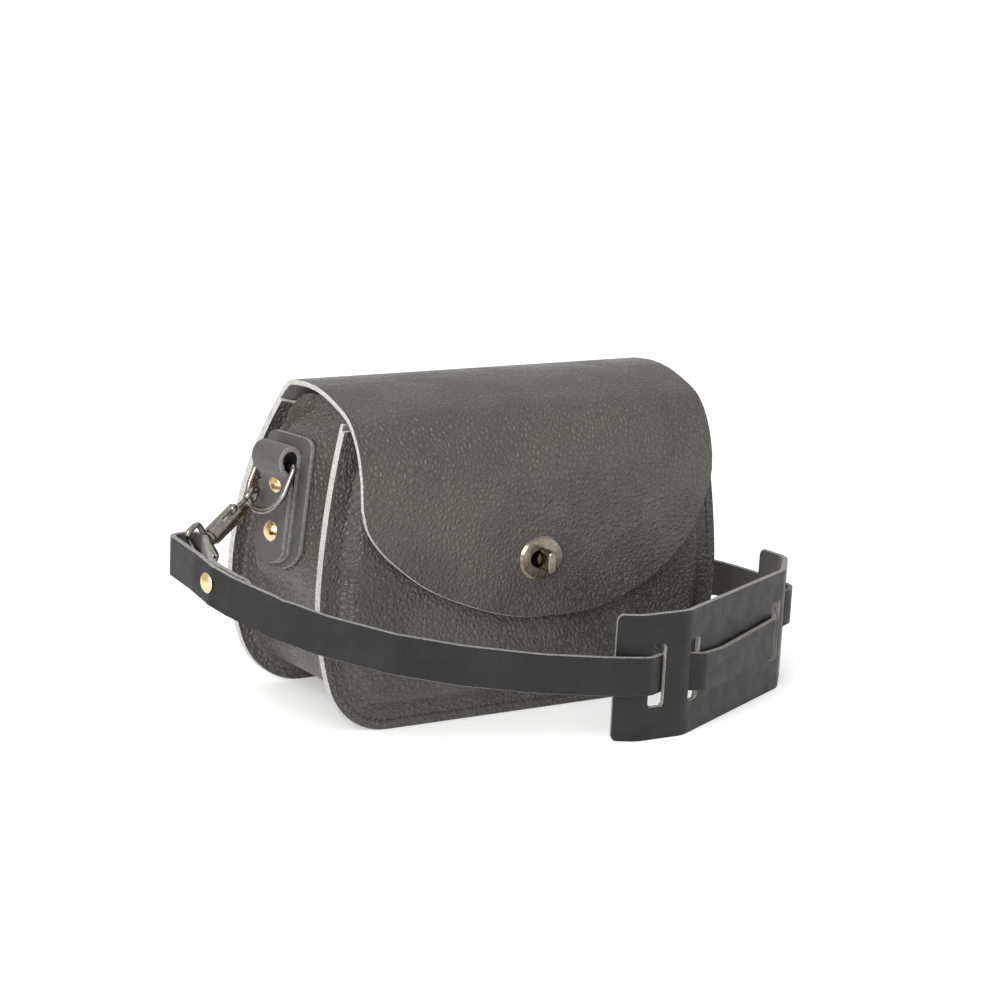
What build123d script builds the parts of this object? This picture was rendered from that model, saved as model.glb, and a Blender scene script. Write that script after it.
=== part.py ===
from build123d import *
from math import cos, hypot, radians, sin
import os

# Small leather saddle bag with a folded-over flap, a turn lock, two dee-ring tabs,
# and a carrying strap that hooks to the dee rings and weaves through a shoulder pad.
# Millimetres, +Z up, front of the bag towards -Y. The origin is on the floor under
# the middle of the bag.

# Body
LEATHER = 2.4
FLANGE = 8.0
BASE_HALF_WIDTH = 76.0
CORNER_TOP = (107.0, 23.0)
WIDEST = (112.5, 72.0)
OUTLINE_TOP = (97.5, 158.0)
FRONT_FOOT_Y = -46.0
FRONT_TOP_Y = -39.1
FRONT_HEIGHT = 144.0
GUSSET_HEIGHT = 147.0
BACK_FOOT_Y = 46.0
BACK_BULGE = (52.8, 52.0)
BACK_TOP = (27.0, 151.0)
CROWN_INSET = 13.0
CROWN_TOP = 128.0
CROWN_RISE = 5.5
CROWN_TAPER = 58.0
FACE_GAP = 0.02
REACH = 130.0
LEAN = (FRONT_TOP_Y - FRONT_FOOT_Y) / FRONT_HEIGHT

# Flap, hinged at the fold over the back edge and at the crease over the front edge
FLAP_HALF_WIDTH = 99.0
FLAP_FACE_Y = -54.5
FLAP_MID_Y = FLAP_FACE_Y + LEATHER / 2
FLAP_BOTTOM_Z = 49.4
FLAP_STRAIGHT_Z = 108.0
FLAP_SHOULDER_Z = 112.0
FLAP_CURVE_END = (84.0, 80.0)
FOLD_PIVOT = (24.9, 153.4)
TOP_REAR = (21.9, 155.7)
TOP_RIDGE = (-5.7, 158.0)
TOP_FRONT = (-34.5, 151.2)
CREASE_PIVOT = (-36.9, 150.1)
CREASE_END = (-39.0, 148.3)

# Turn lock
LOCK_Z = 79.0
PLATE_SIZE = (24.6, 21.8)
PLATE_THICK = 1.9
PLATE_BEVEL = 1.1
OPENING_SIZE = (13.4, 9.6)
FLAP_HOLE_SIZE = (15.0, 11.2)
KNOB_SIZE = (4.2, 10.6)
KNOB_HEAD_DEPTH = 8.6
KNOB_CLEARANCE = 0.5
KNOB_NECK_DIA = 6.4
SPINDLE_DIA = 3.0
SPINDLE_HOLE = 3.1
SPINDLE_HEAD = 5.0
LEATHER_HOLE = 4.2
WASHER_SIZE = (22.4, 19.4)
WASHER_THICK = 0.8
PRONG_SIZE = (0.9, 3.2)
PRONG_HOLE = (1.1, 3.4)
PRONG_OFFSET = 9.4
BASE_SIZE = (24.0, 13.0)
BASE_THICK = 1.3

# Dee-ring tabs on the gussets
TAB_ORIGIN = (-106.2, 6.1, 99.0)
TAB_TURN = 12.0
TAB_LEAN = 6.5
TAB_BASE_WIDTH = 32.0
TAB_BASE_TOP = 35.0
TAB_BASE_BOTTOM = -29.0
TAB_BASE_THICK = 2.6
TAB_WIDTH = 20.0
TAB_RISE_GAP = 0.6
TAB_BOTTOM = -26.5
TAB_PLY = 2.7
EYE_HEIGHT = 24.2
EYE_RADIUS = 4.2
RIVET_HEIGHTS = (12.0, -11.5)
RIVET_CAP = 10.2
RIVET_POST = 4.0
RIVET_HOLE = 4.1
RIVET_BACK = 8.0
RIVET_BACK_DEPTH = 8.4
CAP_RISE = 2.2

# Dee rings
RING_WIRE = 3.0
RING_HALF_WIDTH = 13.0
RING_LEG = 11.5
RING_CORNER = 2.5
RING_SWING = 26.0
RING_SHIFT = 1.0
RING_DROP = 2.3

# Trigger hooks, measured along the hook from the ring's wire
HOOK_WIRE = 3.2
HOOK_BEND = 5.5
HOOK_SHANK = 2.9
HOOK_NOSE = (4.7, 2.2)
HOOK_SEAT = 0.5
HOOK_ROLL = -12.0
BARREL_DIA = 9.4
BARREL_ENDS = (9.0, 27.0)
BOLT_DIA = 2.6
BOLT_BORE = 2.7
BOLT_OFFSET = 3.2
BOLT_ENDS = (2.4, 15.5)
BORE_END = 23.5
STUD_AT = 12.0
TRIGGER_TRAVEL = 5.0
STUD_NECK = 1.5
STUD_SLOT = 2.1
STUD_REACH = 7.2
STUD_BALL = 4.4
SPRING_DIA = 2.4
STEM_DIA = 3.0
STEM_HOLE = 3.1
STEM_START = 24.6
COLLAR_DIA = 7.6
COLLAR_ENDS = (27.3, 28.6)
EYE_WIRE = 2.8
EYE_BARS = (29.6, 37.4)
EYE_HALF_WIDTH = 11.0
EYE_CORNER = 2.4
EYE_NOTCH_WIRE = 3.4

# Hook directions and where each hook sits on its ring
HOOK_AXIS = (-0.805, -0.182, -0.564)
RING_POINT = (-9.0, 9.38)
RIGHT_TURN = -145.0

# Strap and shoulder pad
STRAP_WIDTH = 18.4
STRAP_THICK = 2.6
STRAP_BEND = 6.9
STRAP_RIVET_AT = (-162.2, -27.0, 75.8)
STRAP_RIVET_TURN = 8.0
STRAP_RIVET_CAP = 9.6
STRAP_RIVET_POST = 3.6
STRAP_RIVET_HOLE = 3.7
STRAP_CAP_RISE = 1.8
PLY_GAP = 2.7
FLOOR_MID = STRAP_WIDTH / 2 + 0.2
PAD_HEIGHT = 62.0
PAD_THICK = 2.6
PAD_BEND = 12.0
SLOT_WIDTH = 9.0
SLOT_ENDS = (16.0, 47.0)
WEAVE = 3.4
WEAVE_RUN = 5.3
PAD_CORNER = 6.0
PAD_A = (13.5, -102.5)
PAD_B = (24.0, -108.0)
PAD_C = (50.0, -108.7)
PAD_D = (140.0, -65.0)
PAD_E = (157.4, -44.4)
PAD_F = (155.6, -26.5)
SLOT_1 = 9.5
SLOT_2 = 7.0
SLOT_3 = 92.0
SLOT_4 = 17.0


def panel_outline(inset=0.0, height=OUTLINE_TOP[1]):
    """The U-shaped panel, pulled in by inset and cut off level at height."""
    with BuildSketch() as outline:
        with BuildLine():
            Line((0, 0), (BASE_HALF_WIDTH, 0))
            corner = TangentArc((BASE_HALF_WIDTH, 0), CORNER_TOP, tangent=(1, 0))
            side = TangentArc(CORNER_TOP, WIDEST, tangent=corner % 1)
            top = TangentArc(WIDEST, OUTLINE_TOP, tangent=side % 1)
            Line(top @ 1, (0, OUTLINE_TOP[1]))
            mirror(about=Plane.YZ)
        make_face()
        if inset:
            offset(amount=-inset)
        with Locations((0, height + REACH / 2)):
            Rectangle(2 * REACH, REACH, mode=Mode.SUBTRACT)
    return outline.sketch


def panel_prism(inset=0.0):
    """The panel outline run straight through the bag from front to back."""
    with BuildPart() as prism:
        with BuildSketch(Plane.XZ):
            add(panel_outline(inset))
        extrude(amount=REACH, both=True)
    return prism.part


def body_room(inset, height):
    """The room between the front and back faces, pulled in by inset from each."""
    front_inset = (inset + FACE_GAP) * hypot(1, LEAN)
    foot = (FRONT_FOOT_Y + front_inset, 0)
    top = (FRONT_FOOT_Y + front_inset + LEAN * BACK_TOP[1], BACK_TOP[1])
    with BuildPart() as room:
        with BuildSketch(Plane.YZ):
            with BuildLine():
                back = ThreePointArc(
                    (BACK_FOOT_Y - inset, 0),
                    (BACK_BULGE[0] - inset, BACK_BULGE[1]),
                    (BACK_TOP[0] - inset, BACK_TOP[1]),
                )
                Line(back @ 1, top)
                Line(top, foot)
                Line(foot, back @ 0)
            make_face()
            with Locations((0, height + REACH / 2)):
                Rectangle(2 * REACH, REACH, mode=Mode.SUBTRACT)
        extrude(amount=REACH, both=True)
    return room.part


def domed_cap(diameter, rise, plane):
    """A shallow domed rivet cap standing on a plane."""
    dome_radius = (diameter**2 / 4 + rise**2) / (2 * rise)
    with BuildPart() as cap:
        with BuildSketch(Plane.XZ):
            with BuildLine():
                Line((0, 0), (diameter / 2, 0))
                RadiusArc((diameter / 2, 0), (0, rise), -dome_radius)
                Line((0, rise), (0, 0))
            make_face()
        revolve(axis=Axis.Z)
    return plane.location * cap.part


def rod(plane, diameter, start, end):
    """A round rod along a plane's normal, from start to end."""
    with BuildPart() as bar:
        with BuildSketch(plane.offset(start)):
            Circle(diameter / 2)
        extrude(amount=end - start)
    return bar.part


def oval_plate(plane, size, thickness):
    """A flat oval plate standing on a plane."""
    with BuildPart() as plate:
        with BuildSketch(plane):
            Ellipse(size[0] / 2, size[1] / 2)
        extrude(amount=thickness)
    return plate.part


def prongs(plane, size, length):
    """The two flat fixing prongs of a lock plate."""
    with BuildPart() as legs:
        with BuildSketch(plane):
            with Locations((-PRONG_OFFSET, 0), (PRONG_OFFSET, 0)):
                Rectangle(*size)
        extrude(amount=length)
    return legs.part


def finish(shape, name):
    """Label a finished piece and write it to its own STEP file."""
    shape.label = name
    export_step(shape, f"parts/{name}.step")


os.makedirs("parts", exist_ok=True)

# ---------------------------------------------------------------- body panels
FRONT = Plane(origin=(0, FRONT_FOOT_Y, 0), x_dir=(1, 0, 0), z_dir=(0, -1, LEAN))
LOCK = Plane(origin=(0, FLAP_FACE_Y, LOCK_Z), x_dir=(1, 0, 0), z_dir=(0, -1, 0))
CROWN = Plane(
    origin=(0, FRONT_FOOT_Y + LEAN * LOCK_Z - CROWN_RISE * hypot(1, LEAN), LOCK_Z),
    x_dir=(1, 0, 0),
    z_dir=(0, -1, LEAN),
)

with BuildPart() as front_panel:
    with BuildSketch(FRONT.offset(-LEATHER)):
        add(panel_outline(0, FRONT_HEIGHT))
    extrude(amount=LEATHER)
    with BuildSketch(FRONT):
        add(panel_outline(CROWN_INSET, CROWN_TOP))
    extrude(amount=CROWN_RISE, taper=CROWN_TAPER)
    with BuildSketch(FRONT.offset(-LEATHER)):
        add(panel_outline(CROWN_INSET + LEATHER / 2, CROWN_TOP - LEATHER / 2))
    extrude(amount=CROWN_RISE, taper=CROWN_TAPER, mode=Mode.SUBTRACT)
    add(prongs(CROWN.offset(-2 * LEATHER), PRONG_HOLE, 3 * LEATHER), mode=Mode.SUBTRACT)
    add(rod(LOCK, LEATHER_HOLE, -REACH / 2, 0), mode=Mode.SUBTRACT)
finish(front_panel.part, "front_panel")

with BuildPart() as back_panel:
    add(body_room(0, BACK_TOP[1]))
    add(body_room(LEATHER, BACK_TOP[1] + 1), mode=Mode.SUBTRACT)
    with BuildSketch(Plane.XY):
        with Locations((0, -REACH / 2)):
            Rectangle(2 * REACH + 2, REACH)
    extrude(amount=2 * REACH, mode=Mode.SUBTRACT)
    add(panel_prism(), mode=Mode.INTERSECT)
finish(back_panel.part, "back_panel")

# The gusset is one U-shaped strip with a seam flange turned out at each long edge
gusset_web = body_room(LEATHER, GUSSET_HEIGHT) & panel_prism(FLANGE)
turn = radians(TAB_TURN)
tilt = radians(TAB_LEAN)
TAB = Plane(
    origin=TAB_ORIGIN,
    x_dir=(sin(turn), -cos(turn), 0),
    z_dir=(-cos(turn) * cos(tilt), -sin(turn) * cos(tilt), sin(tilt)),
)


def tab_spot(height, out=0.0):
    """A plane on the tab at a rivet's height, facing out of the bag's side."""
    point = TAB.from_local_coords(Vector(0, height, out))
    return Plane(origin=point, x_dir=TAB.x_dir, z_dir=TAB.z_dir)


with BuildPart() as gusset:
    add(body_room(LEATHER, GUSSET_HEIGHT))
    add(body_room(2 * LEATHER, GUSSET_HEIGHT + 1), mode=Mode.SUBTRACT)
    add(panel_prism(), mode=Mode.INTERSECT)
    add(gusset_web)
    add(panel_prism(FLANGE + LEATHER), mode=Mode.SUBTRACT)
    for height in RIVET_HEIGHTS:
        hole = rod(tab_spot(height), RIVET_HOLE, -2 * RIVET_BACK_DEPTH, 0)
        add(hole, mode=Mode.SUBTRACT)
        add(mirror(hole, about=Plane.YZ, mode=Mode.PRIVATE), mode=Mode.SUBTRACT)
finish(gusset.part, "gusset")

# ---------------------------------------------------------------- flap
with BuildPart() as flap_top:
    with BuildSketch(Plane.YZ):
        with BuildLine() as top_line:
            ThreePointArc(TOP_REAR, TOP_RIDGE, TOP_FRONT)
        trace(line_width=LEATHER)
    extrude(amount=FLAP_HALF_WIDTH, both=True)
finish(flap_top.part, "flap_top")

with BuildSketch() as flap_outline:
    with BuildLine():
        bottom = ThreePointArc(
            (-FLAP_CURVE_END[0], FLAP_CURVE_END[1]),
            (0, FLAP_BOTTOM_Z),
            FLAP_CURVE_END,
        )
        shoulder = (FLAP_HALF_WIDTH, FLAP_SHOULDER_Z)
        TangentArc(FLAP_CURVE_END, shoulder, tangent=bottom % 1)
        Line(shoulder, (FLAP_HALF_WIDTH, 2 * FLAP_STRAIGHT_Z))
        Line((FLAP_HALF_WIDTH, 2 * FLAP_STRAIGHT_Z), (-FLAP_HALF_WIDTH, 2 * FLAP_STRAIGHT_Z))
        left_shoulder = (-FLAP_HALF_WIDTH, FLAP_SHOULDER_Z)
        Line((-FLAP_HALF_WIDTH, 2 * FLAP_STRAIGHT_Z), left_shoulder)
        TangentArc(
            (-FLAP_CURVE_END[0], FLAP_CURVE_END[1]),
            left_shoulder,
            tangent=(bottom % 0) * -1,
        )
    make_face()

with BuildPart() as flap_front:
    with BuildSketch(Plane.YZ):
        with BuildLine() as front_line:
            fall = Line((FLAP_MID_Y, FLAP_BOTTOM_Z - 1), (FLAP_MID_Y, FLAP_STRAIGHT_Z))
            TangentArc(fall @ 1, CREASE_END, tangent=fall % 1)
        trace(line_width=LEATHER)
    extrude(amount=REACH, both=True)
    with BuildSketch(Plane.XZ):
        add(flap_outline.sketch)
    extrude(amount=REACH, both=True, mode=Mode.INTERSECT)
    add(oval_plate(LOCK.offset(-2 * LEATHER), FLAP_HOLE_SIZE, 3 * LEATHER), mode=Mode.SUBTRACT)
    add(prongs(LOCK.offset(-2 * LEATHER), PRONG_HOLE, 3 * LEATHER), mode=Mode.SUBTRACT)
finish(flap_front.part, "flap_front")

# ---------------------------------------------------------------- turn lock
with BuildPart() as lock_plate:
    with BuildSketch(LOCK):
        Ellipse(PLATE_SIZE[0] / 2, PLATE_SIZE[1] / 2)
    extrude(amount=PLATE_THICK)
    chamfer(lock_plate.faces().sort_by(Axis.Y)[0].edges(), length=PLATE_BEVEL)
    with BuildSketch(LOCK):
        Ellipse(OPENING_SIZE[0] / 2, OPENING_SIZE[1] / 2)
    extrude(amount=PLATE_THICK, mode=Mode.SUBTRACT)
    add(prongs(LOCK.offset(-LEATHER - WASHER_THICK), PRONG_SIZE, LEATHER + WASHER_THICK))
finish(lock_plate.part, "lock_plate")

with BuildPart() as lock_washer:
    add(oval_plate(LOCK.offset(-LEATHER - WASHER_THICK), WASHER_SIZE, WASHER_THICK))
    add(oval_plate(LOCK.offset(-2 * LEATHER), FLAP_HOLE_SIZE, 2 * LEATHER), mode=Mode.SUBTRACT)
    add(prongs(LOCK.offset(-2 * LEATHER), PRONG_HOLE, 2 * LEATHER), mode=Mode.SUBTRACT)
finish(lock_washer.part, "lock_washer")

plate_face = PLATE_THICK + KNOB_CLEARANCE
base_face = CROWN.origin.Y - LOCK.origin.Y
spindle_end = base_face + LEATHER + WASHER_THICK + KNOB_CLEARANCE
with BuildPart() as lock_base:
    add(oval_plate(CROWN, BASE_SIZE, BASE_THICK))
    add(prongs(CROWN.offset(-LEATHER - WASHER_THICK), PRONG_SIZE, LEATHER + WASHER_THICK))
    add(rod(LOCK, SPINDLE_HOLE, -2 * base_face, 0), mode=Mode.SUBTRACT)
finish(lock_base.part, "lock_base")

with BuildPart() as base_washer:
    add(oval_plate(CROWN.offset(-LEATHER - WASHER_THICK), BASE_SIZE, WASHER_THICK))
    add(prongs(CROWN.offset(-2 * LEATHER), PRONG_HOLE, 2 * LEATHER), mode=Mode.SUBTRACT)
    add(rod(LOCK, SPINDLE_HOLE, -2 * base_face, 0), mode=Mode.SUBTRACT)
finish(base_washer.part, "base_washer")

with BuildPart() as turn_knob:
    add(rod(LOCK, KNOB_NECK_DIA, -base_face + BASE_THICK + KNOB_CLEARANCE, plate_face))
    with BuildSketch(LOCK.offset(plate_face)):
        SlotOverall(KNOB_SIZE[1], KNOB_SIZE[0], rotation=90)
    extrude(amount=KNOB_HEAD_DEPTH)
    chamfer(turn_knob.faces().sort_by(Axis.Y)[0].edges(), length=0.5)
    add(rod(LOCK, SPINDLE_DIA, -spindle_end - 0.1, plate_face))
    add(rod(LOCK, SPINDLE_HEAD, -spindle_end - 1, -spindle_end))
finish(turn_knob.part, "turn_knob")

# ---------------------------------------------------------------- dee-ring tabs
TAB_SIDE = Plane(origin=TAB.origin, x_dir=TAB.y_dir, z_dir=TAB.x_dir)
eye_out = TAB_BASE_THICK + TAB_PLY + EYE_RADIUS
rivet_face = TAB_BASE_THICK + 2 * TAB_PLY
rise = RIVET_HEIGHTS[0] + RIVET_CAP / 2 + TAB_RISE_GAP
eye_middle = (EYE_HEIGHT, eye_out)

with BuildPart() as tab_base:
    with BuildSketch(TAB):
        foot_radius = TAB_BASE_WIDTH / 2
        foot_centre = TAB_BASE_BOTTOM + foot_radius
        with Locations((0, (foot_centre + TAB_BASE_TOP) / 2)):
            top_block = Rectangle(TAB_BASE_WIDTH, TAB_BASE_TOP - foot_centre)
        fillet(top_block.vertices().group_by(Axis.Z)[-1], radius=PAD_CORNER)
        with Locations((0, foot_centre)):
            Circle(foot_radius)
    extrude(amount=TAB_BASE_THICK)
    for height in RIVET_HEIGHTS:
        add(rod(tab_spot(height), RIVET_HOLE, -1, LEATHER + 1), mode=Mode.SUBTRACT)

with BuildPart() as tab_loop:
    with BuildSketch(TAB_SIDE):
        with Locations((TAB_BOTTOM, TAB_BASE_THICK)):
            Rectangle(rise - TAB_BOTTOM, 2 * TAB_PLY, align=(Align.MIN, Align.MIN))
        neck = [(rise - 1, TAB_BASE_THICK), (EYE_HEIGHT, TAB_BASE_THICK), eye_middle]
        Polygon(*neck, (rise - 1, rivet_face), align=None)
        with Locations(eye_middle):
            Circle(EYE_RADIUS + TAB_PLY)
            Circle(EYE_RADIUS, mode=Mode.SUBTRACT)
    extrude(amount=TAB_WIDTH / 2, both=True)
    with BuildSketch(TAB):
        tab_radius = TAB_WIDTH / 2
        with Locations((0, TAB_BOTTOM + tab_radius + EYE_HEIGHT)):
            Rectangle(TAB_WIDTH, 2 * EYE_HEIGHT)
        with Locations((0, TAB_BOTTOM + tab_radius)):
            Circle(tab_radius)
    extrude(amount=REACH, mode=Mode.INTERSECT)
    for height in RIVET_HEIGHTS:
        add(rod(tab_spot(height), RIVET_HOLE, 0, rivet_face + 1), mode=Mode.SUBTRACT)

with BuildPart() as tab_rivets:
    for height in RIVET_HEIGHTS:
        add(rod(tab_spot(height), RIVET_POST, -RIVET_BACK_DEPTH, rivet_face))
        add(domed_cap(RIVET_CAP, CAP_RISE, tab_spot(height, rivet_face)))
        add(rod(tab_spot(height), RIVET_BACK, -RIVET_BACK_DEPTH - 1, -RIVET_BACK_DEPTH))

# ---------------------------------------------------------------- dee rings
def half_loop(half, far, corner, round_end):
    """One half of a closed wire loop hanging down from the origin, far end first."""
    slant = half * sin(radians(45))
    if round_end:
        ThreePointArc((0, far), (slant, far + half - slant), (half, far + half))
        Line((half, far + half), (half, -corner))
    else:
        Line((0, far), (half - corner, far))
        TangentArc((half - corner, far), (half, far + corner), tangent=(1, 0))
        Line((half, far + corner), (half, -corner))
    TangentArc((half, -corner), (half - corner, 0), tangent=(0, 1))
    Line((half - corner, 0), (0, 0))


def wire_loop(wire, half, length, corner, round_end=False):
    """A closed wire loop in the XY plane, hanging from the origin along -Y."""
    with BuildPart() as loop:
        with BuildLine() as path:
            half_loop(half, -length, corner, round_end)
        with BuildSketch(Plane(origin=(0, -length, 0), z_dir=(1, 0, 0))):
            Circle(wire / 2)
        sweep(path=path.wires()[0])
        mirror(about=Plane.YZ)
    return loop.part


swing = radians(RING_SWING)
outward = Vector(-cos(turn), -sin(turn), 0)
ring_drop = Vector(0, 0, -cos(swing)) + outward * sin(swing)
bar_centre = TAB.from_local_coords(Vector(RING_SHIFT, EYE_HEIGHT - RING_DROP, eye_out))
RING = Plane(origin=bar_centre, x_dir=TAB.x_dir, z_dir=TAB.x_dir.cross(ring_drop * -1))
ring_length = RING_LEG + RING_HALF_WIDTH
ring_loop = wire_loop(RING_WIRE, RING_HALF_WIDTH, ring_length, RING_CORNER, True)
d_ring = RING.location * ring_loop

for side_name, flip in (("left", False), ("right", True)):
    for name, piece in (
        ("tab_base", tab_base.part),
        ("tab_loop", tab_loop.part),
        ("tab_rivets", tab_rivets.part),
        ("d_ring", d_ring),
    ):
        finish(piece.mirror(Plane.YZ) if flip else piece, f"{name}_{side_name}")

# ---------------------------------------------------------------- trigger hooks
# Each hook is drawn upright, its swivel axis on +Z and its bend over the origin
AXLE = Plane.XY
BOLT = Plane(origin=(BOLT_OFFSET, 0, 0), z_dir=(0, 0, 1))
STUD = Plane(origin=(0, 0, STUD_AT), x_dir=(0, 1, 0), z_dir=(1, 0, 0))

with BuildPart() as hook_body:
    with BuildLine(Plane.XZ) as bend_line:
        shank = Line((-HOOK_SHANK, STUD_AT), (-HOOK_SHANK, BARREL_ENDS[0]))
        Spline(shank @ 1, (-HOOK_BEND, 0), tangents=[(0, -1), (0, -1)])
        crown = ThreePointArc((-HOOK_BEND, 0), (0, -HOOK_BEND), (HOOK_BEND, 0))
        TangentArc(crown @ 1, HOOK_NOSE, tangent=crown % 1)
    with BuildSketch(Plane(origin=(-HOOK_SHANK, 0, STUD_AT), z_dir=(0, 0, -1))):
        Circle(HOOK_WIRE / 2)
    sweep(path=bend_line.wires()[0])
    add(rod(AXLE, BARREL_DIA, *BARREL_ENDS))
    add(rod(BOLT, BOLT_BORE, BARREL_ENDS[0] - 1, BORE_END), mode=Mode.SUBTRACT)
    with BuildSketch(STUD.offset(BOLT_OFFSET)):
        with Locations((0, TRIGGER_TRAVEL / 2)):
            SlotOverall(TRIGGER_TRAVEL + 2 * STUD_SLOT, STUD_SLOT, rotation=90)
    extrude(amount=BARREL_DIA, mode=Mode.SUBTRACT)
    add(rod(AXLE, STEM_HOLE, BORE_END + 0.6, BARREL_ENDS[1] + 1), mode=Mode.SUBTRACT)

with BuildPart() as trigger:
    add(rod(BOLT, BOLT_DIA, *BOLT_ENDS))
    add(rod(STUD, STUD_NECK, BOLT_OFFSET, STUD_REACH))
    with Locations((STUD_REACH, 0, STUD_AT)):
        Sphere(STUD_BALL / 2)

eye_length = EYE_BARS[1] - EYE_BARS[0]
EYE_FRAME = Plane(origin=(0, 0, EYE_BARS[0]), x_dir=(1, 0, 0), z_dir=(0, 1, 0))
spring = rod(BOLT, SPRING_DIA, BOLT_ENDS[1] + 0.3, BORE_END - 0.3)

with BuildPart() as swivel_eye:
    add(rod(AXLE, STEM_DIA, STEM_START, EYE_BARS[0]))
    add(rod(AXLE, COLLAR_DIA, *COLLAR_ENDS))
    eye_loop = wire_loop(EYE_WIRE, EYE_HALF_WIDTH, eye_length, EYE_CORNER)
    add(EYE_FRAME.location * eye_loop)

axis_left = Vector(*HOOK_AXIS).normalized()
ring_across = RING.x_dir * RING_POINT[0]
hook_point = bar_centre + ring_across + ring_drop * (RING_LEG + RING_POINT[1])
wire_dir = RING.x_dir * RING_POINT[1] - ring_drop * RING_POINT[0]
right_point = Vector(-hook_point.X, hook_point.Y, hook_point.Z)


def hook_plane(point, axis, wire):
    """The hook's own plane: its bend wraps round the ring's wire at point."""
    wrap = (wire - axis * wire.dot(axis)).normalized()
    side = axis.cross(wrap).rotate(Axis((0, 0, 0), axis), HOOK_ROLL)
    return Plane(origin=point + side * HOOK_SEAT, x_dir=side, z_dir=axis)


axis_right = axis_left.rotate(Axis.Z, RIGHT_TURN)
wire_right = Vector(-wire_dir.X, wire_dir.Y, wire_dir.Z)
HOOK_LEFT = hook_plane(hook_point, axis_left, wire_dir)
HOOK_RIGHT = hook_plane(right_point, axis_right, wire_right)
move_right = HOOK_RIGHT.origin - HOOK_LEFT.origin.rotate(Axis.Z, RIGHT_TURN)
TO_RIGHT = Pos(*move_right) * Rot(0, 0, RIGHT_TURN)
upright = Vector(0, 0, 1) - axis_left * axis_left.Z
EYE_LEFT = Plane(origin=HOOK_LEFT.origin, x_dir=upright, z_dir=axis_left)
upright_right = Vector(0, 0, 1) - axis_right * axis_right.Z
EYE_RIGHT = Plane(origin=HOOK_RIGHT.origin, x_dir=upright_right, z_dir=axis_right)

hook_frames = (("left", HOOK_LEFT, EYE_LEFT), ("right", HOOK_RIGHT, EYE_RIGHT))
for side_name, hook_at, eye_at in hook_frames:
    finish(hook_at.location * hook_body.part, f"hook_body_{side_name}")
    finish(hook_at.location * trigger.part, f"trigger_{side_name}")
    finish(hook_at.location * spring, f"trigger_spring_{side_name}")
    finish(eye_at.location * swivel_eye.part, f"swivel_eye_{side_name}")


# ---------------------------------------------------------------- strap and pad
def plan_band(points, bend, thickness, height):
    """A band standing on edge along a plan line with rounded bends."""
    with BuildPart() as band:
        with BuildSketch():
            with BuildLine():
                FilletPolyline(*points, radius=bend)
            trace(line_width=thickness)
        extrude(amount=height)
    return band.part


def strap_curtain(plane, heights, start, end):
    """A slab as tall as the strap, following its mid-height line, from start to end."""
    lower = [(along, mid - STRAP_WIDTH / 2) for along, mid in heights]
    upper = [(along, mid + STRAP_WIDTH / 2) for along, mid in reversed(heights)]
    with BuildPart() as slab:
        with BuildSketch(plane.offset(start)):
            Polygon(*lower, *upper, align=None)
        extrude(amount=end - start)
    return slab.part


def beside(start, end, along, aside):
    """A plan point along a pad segment and aside from it, positive outwards."""
    length = hypot(end[0] - start[0], end[1] - start[1])
    step = ((end[0] - start[0]) / length, (end[1] - start[1]) / length)
    return (
        start[0] + along * step[0] + aside * step[1],
        start[1] + along * step[1] - aside * step[0],
    )


def crossing(start, end, slot, outward_first):
    """The two strap points where the strap slants through a pad slot."""
    sign = 1 if outward_first else -1
    return [
        beside(start, end, slot - WEAVE_RUN, sign * WEAVE),
        beside(start, end, slot + WEAVE_RUN, -sign * WEAVE),
    ]


fold_line = [
    (-150.9, -45.6),
    (-155.0, -38.7),
    (-159.0, -29.2),
    (-159.8, -23.0),
    (-150.0, 3.0),
    (-150.5, 11.5),
    (-165.0, 11.5),
    (-163.8, -16.0),
    (-161.8, -30.0),
    (-157.6, -40.0),
    (-147.4, -57.0),
]
fold_heights = [(-60, 67.0), (-46, 70.5), (-30, 75.0), (-16, 78.5), (4, 80.5), (20, 80.5)]
STRAP_RIVET = Plane(
    origin=STRAP_RIVET_AT,
    x_dir=(0, 0, 1),
    z_dir=(-cos(radians(STRAP_RIVET_TURN)), -sin(radians(STRAP_RIVET_TURN)), 0),
)
ply_half = STRAP_THICK / 2

with BuildPart() as strap_end:
    add(plan_band(fold_line, STRAP_BEND - 1, STRAP_THICK, REACH))
    add(strap_curtain(Plane.YZ, fold_heights, -2 * REACH, 0), mode=Mode.INTERSECT)
    notch = wire_loop(EYE_NOTCH_WIRE, EYE_HALF_WIDTH, eye_length, EYE_CORNER)
    add(EYE_LEFT.location * EYE_FRAME.location * notch, mode=Mode.SUBTRACT)
    add(rod(STRAP_RIVET, STRAP_RIVET_HOLE, -2 * LEATHER - 2, LEATHER), mode=Mode.SUBTRACT)

with BuildPart() as strap_rivet:
    back_face = ply_half + PLY_GAP + 0.6
    add(rod(STRAP_RIVET, STRAP_RIVET_POST, -back_face, ply_half))
    add(domed_cap(STRAP_RIVET_CAP, STRAP_CAP_RISE, STRAP_RIVET.offset(ply_half + 0.2)))
    add(rod(STRAP_RIVET, STRAP_RIVET_POST, 0, ply_half + 0.3))
    add(rod(STRAP_RIVET, RIVET_BACK, -back_face - 1, -back_face))

for name, piece in (("strap_end", strap_end.part), ("strap_rivet", strap_rivet.part)):
    finish(piece, f"{name}_left")
    finish(TO_RIGHT * piece, f"{name}_right")

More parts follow.
